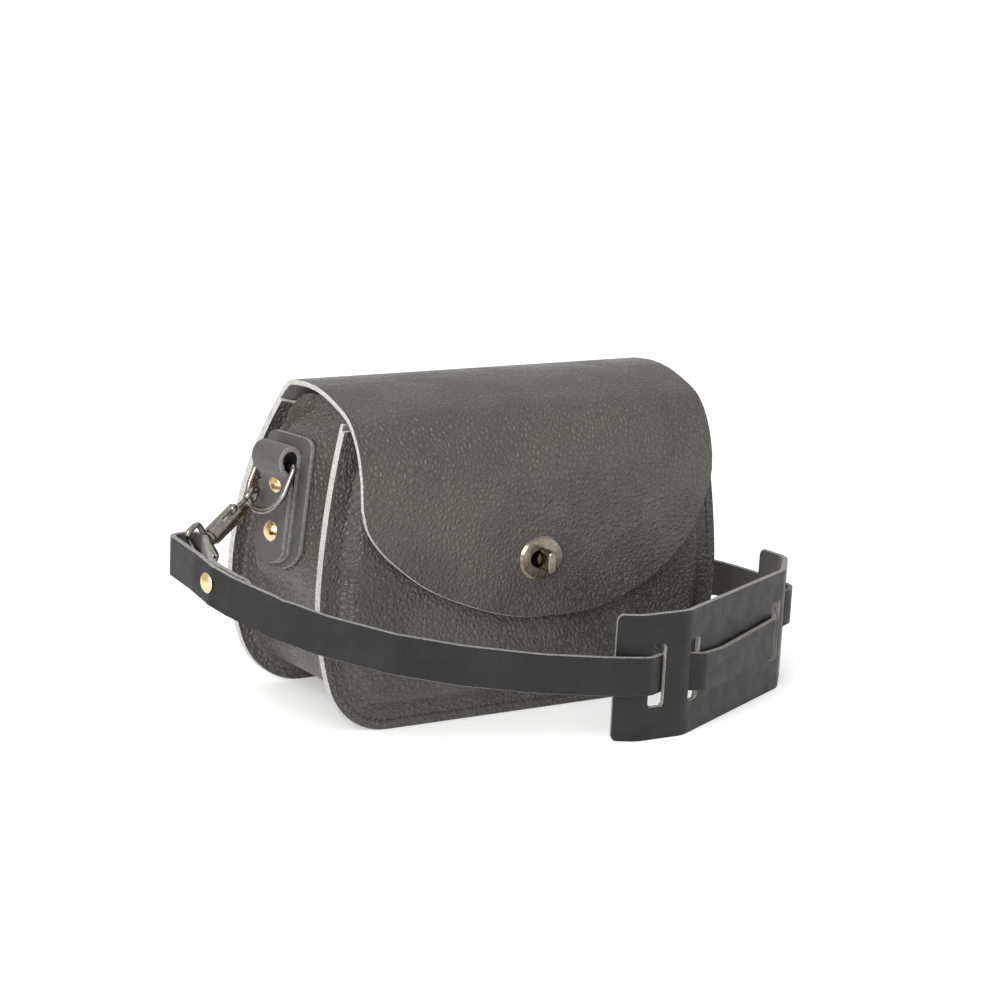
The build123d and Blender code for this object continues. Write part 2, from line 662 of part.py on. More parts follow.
strap_line = [
    (-144.6, -60.6),
    (-127, -74),
    (-99, -90),
    (-68.7, -97),
    (-29, -103),
    (7, -108.4),
    *crossing(PAD_B, PAD_C, SLOT_1, True),
    *crossing(PAD_C, PAD_D, SLOT_2, False),
    *crossing(PAD_C, PAD_D, SLOT_3, True),
    *crossing(PAD_D, PAD_E, SLOT_4, False),
    (160.9, -45.5),
    beside(PAD_E, PAD_F, 12, WEAVE),
    (156, -5),
    (151, 20),
    (152, 40),
    (146, 66),
    (128, 95),
    (100, 99),
    (-70, 99),
    (-70, 85),
    (60, 85),
    (101.5, 80.7),
]
front_heights = [
    (-150, 68.0), (-127, 59.5), (-99, 52), (-68.7, 45.3), (-29, 38.3), (8, 34),
    (28, 32.5), (80, 28), (132, 31), (150, 37), (170, 38.5),
]
side_heights = [(-26, 38.5), (10, 38), (50, 27), (85, 12), (91, FLOOR_MID)]
inner_heights = [(-90, FLOOR_MID), (-40, FLOOR_MID), (0, 20), (60, 44), (110, 69.5)]

with BuildPart() as curtains:
    add(strap_curtain(Plane.XZ, front_heights, 26, REACH))
    add(strap_curtain(Plane.YZ, side_heights, 121, 2 * REACH))
    add(strap_curtain(Plane.XZ, inner_heights, -92, -70))
    with Locations((0, 91 + REACH / 2, FLOOR_MID)):
        Box(4 * REACH, REACH, STRAP_WIDTH)

with BuildPart() as strap_main:
    add(plan_band(strap_line, STRAP_BEND, STRAP_THICK, REACH))
    add(curtains.part, mode=Mode.INTERSECT)
finish(strap_main.part, "strap_main")

pad_line = [PAD_A, PAD_B, PAD_C, PAD_D, PAD_E, PAD_F]
pad_slots = (
    (PAD_B, PAD_C, SLOT_1),
    (PAD_C, PAD_D, SLOT_2),
    (PAD_C, PAD_D, SLOT_3),
    (PAD_D, PAD_E, SLOT_4),
)
slot_middle = (SLOT_ENDS[0] + SLOT_ENDS[1]) / 2
with BuildPart() as shoulder_pad:
    add(plan_band(pad_line, PAD_BEND, PAD_THICK, PAD_HEIGHT))
    for start, end, slot in pad_slots:
        centre = (*beside(start, end, slot, 0), slot_middle)
        along = (end[0] - start[0], end[1] - start[1], 0)
        facing = (along[1], -along[0], 0)
        with BuildSketch(Plane(origin=centre, x_dir=along, z_dir=facing)):
            RectangleRounded(SLOT_WIDTH, SLOT_ENDS[1] - SLOT_ENDS[0], radius=LEATHER)
        extrude(amount=LEATHER, both=True, mode=Mode.SUBTRACT)
finish(shoulder_pad.part, "shoulder_pad")
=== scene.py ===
"""Looks of a small leather saddle bag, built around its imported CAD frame."""

import logging
import math
from dataclasses import dataclass, field
from enum import Enum
from typing import Dict, List, Optional, Sequence, Tuple

import bpy
import numpy as np
from mathutils import Matrix, Vector


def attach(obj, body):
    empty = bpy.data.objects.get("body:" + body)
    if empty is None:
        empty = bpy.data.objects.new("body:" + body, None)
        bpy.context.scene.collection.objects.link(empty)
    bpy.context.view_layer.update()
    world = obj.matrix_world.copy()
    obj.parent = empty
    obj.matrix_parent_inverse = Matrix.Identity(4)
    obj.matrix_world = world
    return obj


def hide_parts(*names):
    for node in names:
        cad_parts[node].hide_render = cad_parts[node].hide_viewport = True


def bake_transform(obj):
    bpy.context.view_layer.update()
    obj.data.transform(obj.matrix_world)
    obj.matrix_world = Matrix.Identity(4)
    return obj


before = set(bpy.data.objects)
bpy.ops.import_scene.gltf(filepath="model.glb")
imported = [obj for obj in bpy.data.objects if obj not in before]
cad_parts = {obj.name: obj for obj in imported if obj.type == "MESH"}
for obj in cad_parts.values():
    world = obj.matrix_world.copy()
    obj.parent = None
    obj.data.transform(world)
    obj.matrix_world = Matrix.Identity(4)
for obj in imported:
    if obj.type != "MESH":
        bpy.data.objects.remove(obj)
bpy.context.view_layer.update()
MM = 0.001
STITCH_SEED = 7
log = logging.getLogger("saddle_bag")

Colour = Tuple[float, float, float, float]
Point2 = Tuple[float, float]
Point3 = Tuple[float, float, float]
Socket = bpy.types.NodeSocket
Piece = bpy.types.Object


class Side(Enum):
    """The two ends of the bag."""

    LEFT = "left"
    RIGHT = "right"

    @property
    def mirror(self) -> np.ndarray:
        """Returns the factors that turn the left end's points into this end's."""
        return np.array([1.0 if self is Side.LEFT else -1.0, 1.0, 1.0])


class Face(Enum):
    """Which material slot of a leather sheet a face takes."""

    GRAIN = 0
    FLESH = 1
    CUT = 2


# ------------------------------------------------------------------ small maths
def smooth_step(low: float, high: float, value: np.ndarray) -> np.ndarray:
    """Smoothly rises from 0 at low to 1 at high.

    Args:
        low: where the rise starts.
        high: where it ends.
        value: the values to map.

    Returns:
        The mapped values, from 0 to 1.
    """
    t = np.clip((np.asarray(value, float) - low) / (high - low), 0.0, 1.0)
    return t * t * (3.0 - 2.0 * t)


def distances(line: np.ndarray) -> np.ndarray:
    """Returns the distance along a polyline at each of its points."""
    return np.concatenate([[0.0], np.cumsum(np.linalg.norm(np.diff(line, axis=0), axis=1))])


def inward_of(line: np.ndarray) -> np.ndarray:
    """Returns the unit direction into the bag at each point of an outline."""
    way = np.gradient(line, axis=0)
    way /= np.linalg.norm(way, axis=1, keepdims=True)
    return np.stack([-way[:, 1], way[:, 0]], 1)


def even_samples(line: np.ndarray, count: int) -> np.ndarray:
    """Spaces samples evenly along a polyline.

    Args:
        line: the polyline's points, one row each.
        count: how many samples to return.

    Returns:
        The samples, one row each.
    """
    along = distances(line)
    wanted = np.linspace(0.0, along[-1], count)
    return np.stack([np.interp(wanted, along, line[:, k]) for k in range(line.shape[1])], 1)


def curve_through(points: Sequence[Sequence[float]], count: int) -> np.ndarray:
    """Samples a smooth line that passes through every point.

    Args:
        points: the points, two or three numbers each.
        count: how many samples to return, evenly spaced along the line.

    Returns:
        The samples, one row each.
    """
    p = np.asarray(points, float)
    p = np.vstack([2 * p[0] - p[1], p, 2 * p[-1] - p[-2]])
    t = np.linspace(0.0, 1.0, 24, endpoint=False)[:, None]
    pieces = []
    for a, b, c, d in zip(p[:-3], p[1:-2], p[2:-1], p[3:]):
        square = (2 * a - 5 * b + 4 * c - d) * t**2
        cube = (3 * b - a - 3 * c + d) * t**3
        pieces.append(0.5 * (2 * b + (c - a) * t + square + cube))
    return even_samples(np.vstack([*pieces, p[-2][None, :]]), count)


def rounded_route(points: Sequence[Point2], bend: float, step: float) -> np.ndarray:
    """Rounds the corners of a route on the floor plan and samples it evenly.

    Args:
        points: the route's corners, in millimetres.
        bend: the bend radius at each corner.
        step: the distance between samples.

    Returns:
        The samples, one row each, all at height 0.
    """
    p = np.array([(x, y, 0.0) for x, y in points])
    pull, most = 0.56, 0.48
    line = [p[0]]
    for before, corner, after in zip(p[:-2], p[1:-1], p[2:]):
        back, ahead = before - corner, after - corner
        reach_back, reach_ahead = np.linalg.norm(back), np.linalg.norm(ahead)
        back, ahead = back / reach_back, ahead / reach_ahead
        turn = math.pi - math.acos(float(np.clip(back @ ahead, -1.0, 1.0)))
        cut = min(bend * math.tan(turn / 2), most * reach_back, most * reach_ahead)
        start, end = corner + back * cut, corner + ahead * cut
        a = start + (corner - start) * pull
        b = end + (corner - end) * pull
        for t in np.linspace(0.0, 1.0, 14):
            s = 1 - t
            line.append(s**3 * start + 3 * s**2 * t * a + 3 * s * t**2 * b + t**3 * end)
    route = np.array([*line, p[-1]])
    return even_samples(route, max(4, int(distances(route)[-1] / step)))


def tangent_arc(
    start: Point2, end: Point2, heading: Point2, count: int
) -> Tuple[np.ndarray, Point2]:
    """Samples the arc that leaves start along heading and reaches end.

    Args:
        start: the arc's first point.
        end: its last point.
        heading: its unit direction at the start.
        count: how many samples to return.

    Returns:
        The samples, and the unit direction at the end.
    """
    p, q, t = np.array(start, float), np.array(end, float), np.array(heading, float)
    normal = np.array([-t[1], t[0]])
    radius = float((q - p) @ (q - p) / (2 * normal @ (q - p)))
    centre = p + normal * radius
    first, last = (math.atan2(*(spot - centre)[::-1]) for spot in (p, q))
    if radius > 0 and last < first:
        last += 2 * math.pi
    angles = np.linspace(first, last, count)
    arc = centre + abs(radius) * np.stack([np.cos(angles), np.sin(angles)], 1)
    return arc, (-math.sin(last), math.cos(last))


# ------------------------------------------------------------------ shader board
class Board:
    """A material's node tree, with short calls for the nodes the finishes share."""

    def __init__(self, name: str) -> None:
        """Starts a material with a principled surface.

        Args:
            name: the material's name.
        """
        self.material = bpy.data.materials.new(name)
        self.material.use_nodes = True
        self.tree = self.material.node_tree
        self.tree.nodes.clear()
        self.out = self.node("ShaderNodeOutputMaterial")
        self.skin = self.node("ShaderNodeBsdfPrincipled")
        self.link(self.skin.outputs[0], self.out.inputs[0])
        self.object_place = self.node("ShaderNodeTexCoord").outputs["Object"]

    def node(self, kind: str, values: Optional[Dict] = None, **settings: str) -> bpy.types.Node:
        """Adds a node.

        Args:
            kind: the node's type.
            values: the inputs' constants, by name or number.
            settings: the node's properties.

        Returns:
            The node.
        """
        made = self.tree.nodes.new(kind)
        for key, value in settings.items():
            setattr(made, key, value)
        for key, value in (values or {}).items():
            made.inputs[key].default_value = value
        return made

    def link(self, source: Socket, target: Socket) -> None:
        """Joins two sockets."""
        self.tree.links.new(source, target)

    def constants(self, values: Dict[str, object]) -> None:
        """Sets constants on the principled surface."""
        for key, value in values.items():
            self.skin.inputs[key].default_value = value

    def noise(self, scale: float, detail: float = 3.0, rough: float = 0.5) -> Socket:
        """Adds noise in the piece's own coordinates.

        Args:
            scale: how fine the noise is, per metre.
            detail: how many finer layers it has.
            rough: how strong those layers are.

        Returns:
            The noise's value.
        """
        values = {"Scale": scale, "Detail": detail, "Roughness": rough}
        made = self.node("ShaderNodeTexNoise", values)
        self.link(self.object_place, made.inputs["Vector"])
        return made.outputs["Fac"]

    def cells(self, scale: float, warp_scale: float, warp: float) -> Socket:
        """Adds a cell pattern on coordinates that noise has pushed about.

        Args:
            scale: how many cells fit in a metre.
            warp_scale: how fine the noise is.
            warp: how far it pushes, in metres.

        Returns:
            The distance to the nearest cell edge, in cells.
        """
        values = {"Scale": warp_scale, "Detail": 2.0}
        push = self.node("ShaderNodeTexNoise", values)
        centred = self.node("ShaderNodeVectorMath", {1: (0.5, 0.5, 0.5)}, operation="SUBTRACT")
        scaled = self.node("ShaderNodeVectorMath", {"Scale": warp}, operation="SCALE")
        total = self.node("ShaderNodeVectorMath", operation="ADD")
        made = self.node("ShaderNodeTexVoronoi", feature="DISTANCE_TO_EDGE")
        made.inputs["Scale"].default_value = scale
        self.link(self.object_place, push.inputs["Vector"])
        self.link(push.outputs["Color"], centred.inputs[0])
        self.link(centred.outputs[0], scaled.inputs[0])
        self.link(self.object_place, total.inputs[0])
        self.link(scaled.outputs[0], total.inputs[1])
        self.link(total.outputs[0], made.inputs["Vector"])
        return made.outputs["Distance"]

    def span(self, source: Socket, low: float, high: float, first: float, last: float) -> Socket:
        """Maps a value smoothly and clamps it.

        Args:
            source: the value.
            low: the value that gives first.
            high: the value that gives last.
            first: the result's lower end.
            last: its upper end.

        Returns:
            The mapped value.
        """
        values = {"From Min": low, "From Max": high, "To Min": first, "To Max": last}
        made = self.node("ShaderNodeMapRange", values, interpolation_type="SMOOTHSTEP")
        self.link(source, made.inputs["Value"])
        return made.outputs["Result"]

    def mottled(self, amount: Socket, first: Colour, second: Colour) -> Socket:
        """Mixes two colours.

        Args:
            amount: the second colour's share.
            first: the first colour.
            second: the second colour.

        Returns:
            The mixed colour.
        """
        made = self.node("ShaderNodeMix", data_type="RGBA")
        made.inputs[6].default_value = first
        made.inputs[7].default_value = second
        self.link(amount, made.inputs[0])
        return made.outputs[2]

    def bump(
        self, height: Socket, strength: float, distance: float, under: Optional[Socket] = None
    ) -> Socket:
        """Adds a bump.

        Args:
            height: the relief's height.
            strength: how strongly it shows.
            distance: its depth, in metres.
            under: the normal it is laid on.

        Returns:
            The bumped normal.
        """
        made = self.node("ShaderNodeBump", {"Strength": strength, "Distance": distance})
        self.link(height, made.inputs["Height"])
        if under is not None:
            self.link(under, made.inputs["Normal"])
        return made.outputs["Normal"]

    def finish(self, colour: Socket, rough: Socket, normal: Socket) -> bpy.types.Material:
        """Connects the surface.

        Args:
            colour: the base colour.
            rough: the roughness.
            normal: the normal.

        Returns:
            The finished material.
        """
        self.link(colour, self.skin.inputs["Base Color"])
        self.link(rough, self.skin.inputs["Roughness"])
        self.link(normal, self.skin.inputs["Normal"])
        return self.material


# ------------------------------------------------------------------ finishes
@dataclass(frozen=True)
class PebbleLeather:
    """Milled leather with raised pebbles, soft sheen and painted shade in the creases between
    pebbles.
    """

    name: str = "pebbled_grey_leather"
    tone: Colour = (0.070, 0.063, 0.056, 1.0)
    light: Colour = (0.092, 0.083, 0.074, 1.0)
    # Painted shade: the colour that the valleys between pebbles are darkened towards.
    crease_shade: Colour = (0.022, 0.020, 0.018, 1.0)
    pebbles: float = 380.0
    roughness: Point2 = (0.26, 0.38)
    relief: float = 0.0008
    wave: float = 0.0012

    def make(self) -> bpy.types.Material:
        """Returns the finished material."""
        b = Board(self.name)
        edge = b.cells(self.pebbles, 240.0, 0.0011)
        small = b.cells(self.pebbles * 2.1, 420.0, 0.001)
        height = b.node("ShaderNodeMath", operation="ADD")
        b.link(b.span(edge, 0.0, 0.45, 0.0, 1.0), height.inputs[0])
        b.link(b.span(small, 0.0, 0.3, 0.0, 0.08), height.inputs[1])
        base = b.mottled(b.span(b.noise(34.0, 4.0), 0.32, 0.7, 0.0, 1.0), self.tone, self.light)
        # Painted shade: darkens the pebbles' cell edges towards the crease shade colour.
        colour = b.node("ShaderNodeMix", {7: self.crease_shade}, data_type="RGBA")
        b.link(base, colour.inputs[6])
        b.link(b.span(edge, 0.0, 0.12, 0.55, 0.0), colour.inputs[0])
        rough = b.span(b.noise(60.0, 3.0), 0.3, 0.7, *self.roughness)
        slow = b.bump(b.noise(26.0, 2.0), 0.35, self.wave)
        normal = b.bump(height.outputs[0], 0.8, self.relief, slow)
        b.constants({"Specular IOR Level": 0.4})
        return b.finish(colour.outputs[2], rough, normal)


@dataclass(frozen=True)
class SmoothLeather:
    """Close, waxed strap leather with fine pores and long soft scuffs."""

    name: str = "smooth_black_leather"
    tone: Colour = (0.009, 0.0088, 0.0088, 1.0)
    light: Colour = (0.016, 0.0155, 0.0155, 1.0)
    pores: float = 1500.0
    roughness: Point2 = (0.40, 0.52)

    def make(self) -> bpy.types.Material:
        """Returns the finished material."""
        b = Board(self.name)
        share = b.span(b.noise(55.0, 5.0, 0.6), 0.36, 0.72, 0.0, 1.0)
        rough = b.span(b.noise(120.0, 4.0), 0.3, 0.7, *self.roughness)
        pores = b.span(b.cells(self.pores, 500.0, 0.0006), 0.0, 0.2, 0.0, 1.0)
        slow = b.bump(b.noise(40.0, 3.0), 0.25, 0.0006)
        normal = b.bump(pores, 0.22, 0.00012, slow)
        b.constants({"Specular IOR Level": 0.3})
        return b.finish(b.mottled(share, self.tone, self.light), rough, normal)


@dataclass(frozen=True)
class MottledFinish:
    """A finish of two mottled tones under a haze, with one fine relief.

    Each noise is given as its scale, detail and roughness.
    """

    name: str
    tone: Colour
    light: Colour
    mottle: Point3
    spread: Point2
    haze: Point3
    roughness: Point2
    grain: Point3
    strength: float
    relief: float
    metallic: float = 0.0
    sheen: float = 0.0

    def make(self) -> bpy.types.Material:
        """Returns the finished material."""
        b = Board(self.name)
        share = b.span(b.noise(*self.mottle), *self.spread, 0.0, 1.0)
        rough = b.span(b.noise(*self.haze), 0.3, 0.7, *self.roughness)
        normal = b.bump(b.noise(*self.grain), self.strength, self.relief)
        b.constants({"Metallic": self.metallic, "Sheen Weight": self.sheen})
        if self.sheen:
            b.constants({"Sheen Roughness": 0.6})
        return b.finish(b.mottled(share, self.tone, self.light), rough, normal)


def cut_edge(name: str, tone: Point3, light: Point3) -> bpy.types.Material:
    """Makes the raw fibre of a cut leather edge.

    Args:
        name: the material's name.
        tone: its darker colour.
        light: its lighter colour.

    Returns:
        The material.
    """
    return MottledFinish(
        name, (*tone, 1.0), (*light, 1.0), mottle=(900.0, 5.0, 0.7), spread=(0.3, 0.72),
        haze=(300.0, 3.0, 0.5), roughness=(0.72, 0.9), grain=(1440.0, 4.0, 0.7),
        strength=0.6, relief=0.0003,
    ).make()


def flesh_side(name: str, tone: Point3, light: Point3) -> bpy.types.Material:
    """Makes the fuzzy inner side of leather.

    Args:
        name: the material's name.
        tone: its darker colour.
        light: its lighter colour.

    Returns:
        The material.
    """
    return MottledFinish(
        name, (*tone, 1.0), (*light, 1.0), mottle=(1300.0, 6.0, 0.75), spread=(0.34, 0.7),
        haze=(200.0, 3.0, 0.5), roughness=(0.8, 0.95), grain=(1300.0, 5.0, 0.7),
        strength=0.7, relief=0.0003, sheen=0.25,
    ).make()


def plated(
    name: str, tone: Point3, worn: Point3, roughness: Point2 = (0.16, 0.32)
) -> bpy.types.Material:
    """Makes plated metal with faint wear and handling haze.

    Args:
        name: the material's name.
        tone: the plating's colour.
        worn: its colour where it is worn.
        roughness: its lowest and highest roughness.

    Returns:
        The material.
    """
    return MottledFinish(
        name, (*tone, 1.0), (*worn, 1.0), mottle=(220.0, 5.0, 0.65), spread=(0.42, 0.75),
        haze=(420.0, 4.0, 0.5), roughness=roughness, grain=(900.0, 3.0, 0.5),
        strength=0.05, relief=0.00002, metallic=1.0,
    ).make()


def waxed_thread() -> bpy.types.Material:
    """Returns the finish of waxed sewing thread."""
    return MottledFinish(
        "dark_thread", (0.035, 0.032, 0.029, 1.0), (0.085, 0.078, 0.07, 1.0),
        mottle=(2400.0, 3.0, 0.5), spread=(0.35, 0.7), haze=(800.0, 3.0, 0.5),
        roughness=(0.5, 0.7), grain=(3800.0, 2.0, 0.5), strength=0.5, relief=0.0001,
    ).make()


class Workshop:
    """Every finish, made once."""

    def __init__(self) -> None:
        """Makes the finishes."""
        self.grey_leather = [
            PebbleLeather().make(),
            flesh_side("grey_flesh_side", (0.10, 0.092, 0.082), (0.19, 0.178, 0.16)),
            cut_edge("grey_cut_edge", (0.32, 0.31, 0.295), (0.58, 0.565, 0.54)),
        ]
        self.black_leather = [
            SmoothLeather().make(),
            flesh_side("black_flesh_side", (0.03, 0.028, 0.026), (0.07, 0.066, 0.06)),
            cut_edge("black_cut_edge", (0.17, 0.165, 0.158), (0.36, 0.35, 0.335)),
        ]
        self.brass = plated("rivet_brass", (0.80, 0.58, 0.33), (0.60, 0.42, 0.22))
        self.old_brass = plated("lock_brass", (0.27, 0.235, 0.185), (0.17, 0.145, 0.115))
        self.gunmetal = plated("gunmetal_plate", (0.30, 0.275, 0.25), (0.20, 0.18, 0.16))
        self.steel = plated("plain_steel", (0.42, 0.41, 0.40), (0.3, 0.29, 0.28), (0.3, 0.5))
        dark = (0.03, 0.028, 0.025)
        self.dark_steel = plated("dark_steel", (0.05, 0.045, 0.04), dark, (0.35, 0.5))
        self.thread = waxed_thread()


# ------------------------------------------------------------------ sheets of leather
@dataclass
class Sheet:
    """A leather sheet on a grid of points, with a thickness, an edge and cut-outs.

    The grid's points lie on the sheet's middle surface. The grain side is the one its
    normals face, and keep says which of its cells are there.
    """

    points: np.ndarray
    thick: float
    keep: Optional[np.ndarray] = None
    flip: bool = False
    edge_bulge: float = 0.45

    def normals(self) -> np.ndarray:
        """Returns the unit normal at each grid point."""
        n = np.cross(np.gradient(self.points, axis=0), np.gradient(self.points, axis=1))
        n = n / np.maximum(np.linalg.norm(n, axis=2, keepdims=True), 1e-9)
        return -n if self.flip else n

    def build(self, name: str, materials: Sequence[bpy.types.Material]) -> Piece:
        """Builds the sheet as one closed mesh.

        Args:
            name: the object's name.
            materials: the grain, flesh and cut-edge finishes.

        Returns:
            The object, at the origin.
        """
        rows, columns = self.points.shape[:2]
        total = rows * columns
        flat_p, flat_n = self.points.reshape(-1, 3), self.normals().reshape(-1, 3)
        keep = self.keep if self.keep is not None else np.ones((rows - 1, columns - 1), bool)
        faces: List[Tuple[int, ...]] = []
        kinds: List[int] = []

        def add(face: Tuple[int, ...], kind: Face) -> None:
            """Adds a face that points outwards, with its material slot."""
            faces.append(face[::-1] if self.flip else face)
            kinds.append(kind.value)

        rim: Dict[Tuple[int, int], None] = {}
        for i, j in np.argwhere(keep):
            a = int(i) * columns + int(j)
            b, c, d = a + columns, a + columns + 1, a + 1
            add((a, b, c, d), Face.GRAIN)
            add((total + a, total + d, total + c, total + b), Face.FLESH)
            for edge in ((a, b), (b, c), (c, d), (d, a)):
                if edge[::-1] in rim:
                    del rim[edge[::-1]]
                else:
                    rim[edge] = None
        away = self._rim_directions(rim, flat_p, flat_n)
        middle: Dict[int, int] = {}
        for edge in rim:
            for k in edge:
                middle.setdefault(k, 2 * total + len(middle))
            a, b = edge
            add((a, middle[a], middle[b], b), Face.CUT)
            add((middle[a], total + a, total + b, middle[b]), Face.CUT)
        bulge = [flat_p[k] + away[k] * self.edge_bulge for k in middle]
        half = flat_n * self.thick / 2
        verts = np.vstack([flat_p + half, flat_p - half, np.array(bulge)])
        return solid_mesh(name, verts * MM, faces, kinds, materials)

    def _rim_directions(
        self, rim: Sequence[Tuple[int, int]], points: np.ndarray, normals: np.ndarray
    ) -> np.ndarray:
        """Finds the way out of the sheet at each point of its rim.

        Args:
            rim: the rim's edges, as pairs of point numbers.
            points: the sheet's points.
            normals: their normals.

        Returns:
            A unit direction for each point, which is zero inside the sheet.
        """
        away = np.zeros_like(points)
        for a, b in rim:
            side = np.cross(points[b] - points[a], normals[a] + normals[b])
            side = side / max(np.linalg.norm(side), 1e-9)
            for k in (a, b):
                away[k] += -side if self.flip else side
        return away / np.maximum(np.linalg.norm(away, axis=1, keepdims=True), 1e-9)


def solid_mesh(
    name: str,
    verts: np.ndarray,
    faces: Sequence[Tuple[int, ...]],
    kinds: Sequence[int],
    materials: Sequence[bpy.types.Material],
) -> Piece:
    """Makes an object at the origin, sharp where two finishes meet.

    Args:
        name: the object's name.
        verts: the points, in metres.
        faces: the faces' corners.
        kinds: each face's material slot.
        materials: the material slots.

    Returns:
        The object, linked to the scene.
    """
    used = np.zeros(len(verts), bool)
    for face in faces:
        used[list(face)] = True
    number = np.cumsum(used) - 1
    renumbered = [tuple(int(number[k]) for k in face) for face in faces]
    mesh = bpy.data.meshes.new(name)
    mesh.from_pydata([tuple(v) for v in verts[used]], [], renumbered)
    for material in materials:
        mesh.materials.append(material)
    mesh.polygons.foreach_set("material_index", np.array(kinds, np.int32))
    mesh.polygons.foreach_set("use_smooth", np.ones(len(faces), bool))
    mesh.update()
    mesh.validate()
    slots: Dict[Tuple[int, int], set] = {}
    for polygon in mesh.polygons:
        for key in polygon.edge_keys:
            slots.setdefault(key, set()).add(polygon.material_index)
    sharp = [len(slots.get(tuple(sorted(e.vertices)), ())) > 1 for e in mesh.edges]
    attribute = mesh.attributes.get("sharp_edge")
    attribute = attribute or mesh.attributes.new("sharp_edge", "BOOLEAN", "EDGE")
    attribute.data.foreach_set("value", np.array(sharp, bool))
    return linked(name, mesh)


def linked(name: str, data: bpy.types.ID) -> Piece:
    """Returns a new object for a mesh, light or camera, linked to the scene."""
    made = bpy.data.objects.new(name, data)
    bpy.context.scene.collection.objects.link(made)
    return made


# ------------------------------------------------------------------ stitches
@dataclass
class Stitches:
    """Rows of stitches laid along lines by Geometry Nodes. Sizes are in millimetres."""

    pitch: float = 3.4
    length: float = 2.5
    gauge: float = 0.36
    tilt: float = 0.09

    def tree(self, thread: bpy.types.Material) -> bpy.types.NodeTree:
        """Makes the node tree that lays stitches along a line.

        Args:
            thread: the stitches' finish.

        Returns:
            The tree, with inputs Pitch, Length, Gauge and Seed.
        """
        tree = bpy.data.node_groups.new("stitches_along_a_line", "GeometryNodeTree")
        face, new, join = tree.interface, tree.nodes.new, tree.links.new
        face.new_socket("Geometry", in_out="INPUT", socket_type="NodeSocketGeometry")
        for name in ("Pitch", "Length", "Gauge"):
            face.new_socket(name, in_out="INPUT", socket_type="NodeSocketFloat")
        face.new_socket("Seed", in_out="INPUT", socket_type="NodeSocketInt")
        face.new_socket("Geometry", in_out="OUTPUT", socket_type="NodeSocketGeometry")
        given, result = new("NodeGroupInput"), new("NodeGroupOutput")
        line, spots = new("GeometryNodeMeshToCurve"), new("GeometryNodeCurveToPoints")
        spots.mode = "LENGTH"
        stick, size = new("GeometryNodeMeshUVSphere"), new("ShaderNodeCombineXYZ")
        for name, value in (("Segments", 8), ("Rings", 6), ("Radius", 1.0)):
            stick.inputs[name].default_value = value
        half = new("ShaderNodeMath")
        half.operation = "MULTIPLY"
        half.inputs[1].default_value = 0.5
        wobble, turn = new("FunctionNodeRandomValue"), new("ShaderNodeCombineXYZ")
        wobble.data_type = "FLOAT"
        wobble.inputs[2].default_value = -self.tilt
        wobble.inputs[3].default_value = self.tilt
        spread, jitter = new("GeometryNodeInstanceOnPoints"), new("GeometryNodeRotateInstances")
        real, paint = new("GeometryNodeRealizeInstances"), new("GeometryNodeSetMaterial")
        paint.inputs["Material"].default_value = thread
        for source, output, target, name in (
            (given, "Geometry", line, "Mesh"),
            (line, "Curve", spots, "Curve"),
            (given, "Pitch", spots, "Length"),
            (given, "Length", half, 0),
            (given, "Gauge", size, "X"),
            (given, "Gauge", size, "Y"),
            (half, 0, size, "Z"),
            (spots, "Points", spread, "Points"),
            (spots, "Rotation", spread, "Rotation"),
            (stick, "Mesh", spread, "Instance"),
            (size, 0, spread, "Scale"),
            (given, "Seed", wobble, "Seed"),
            (wobble, 1, turn, "Y"),
            (spread, "Instances", jitter, "Instances"),
            (turn, 0, jitter, "Rotation"),
            (jitter, "Instances", real, "Geometry"),
            (real, "Geometry", paint, "Geometry"),
            (paint, "Geometry", result, "Geometry"),
        ):
            join(source.outputs[output], target.inputs[name])
        return tree

    def sew(self, name: str, line: np.ndarray, tree: bpy.types.NodeTree) -> Piece:
        """Runs a row of stitches along a line and bakes it to a plain mesh.

        Args:
            name: the object's name.
            line: the line on the leather's surface.
            tree: the stitch tree.

        Returns:
            The stitches' object, at the origin.
        """
        rail_mesh = bpy.data.meshes.new(name + "_rail")
        steps = [(k, k + 1) for k in range(len(line) - 1)]
        rail_mesh.from_pydata([tuple(p * MM) for p in line], steps, [])
        rail = linked(name + "_rail", rail_mesh)
        modifier = rail.modifiers.new("stitches", "NODES")
        modifier.node_group = tree
        sockets = {s.name: s.identifier for s in tree.interface.items_tree if s.in_out == "INPUT"}
        modifier[sockets["Pitch"]] = self.pitch * MM
        modifier[sockets["Length"]] = self.length * MM
        modifier[sockets["Gauge"]] = self.gauge * MM
        modifier[sockets["Seed"]] = STITCH_SEED
        depsgraph = bpy.context.evaluated_depsgraph_get()
        depsgraph.update()
        mesh = bpy.data.meshes.new_from_object(rail.evaluated_get(depsgraph))
        mesh.name = name
        mesh.polygons.foreach_set("use_smooth", np.ones(len(mesh.polygons), bool))
        bpy.data.objects.remove(rail, do_unlink=True)
        return linked(name, mesh)


# ------------------------------------------------------------------ the case
def back_profile(z: np.ndarray) -> np.ndarray:
    """Returns the y of the back panel's outer face at each height."""
    (y1, z1), (y2, z2), (y3, z3) = (46.0, 0.0), (52.8, 52.0), (27.0, 151.0)
    a = np.array([[2 * (y2 - y1), 2 * (z2 - z1)], [2 * (y3 - y1), 2 * (z3 - z1)]])
    b = np.array([y2**2 + z2**2 - y1**2 - z1**2, y3**2 + z3**2 - y1**2 - z1**2])
    cy, cz = np.linalg.solve(a, b)
    radius = math.hypot(y1 - cy, z1 - cz)
    return cy + np.sqrt(radius**2 - (np.asarray(z, float) - cz) ** 2)


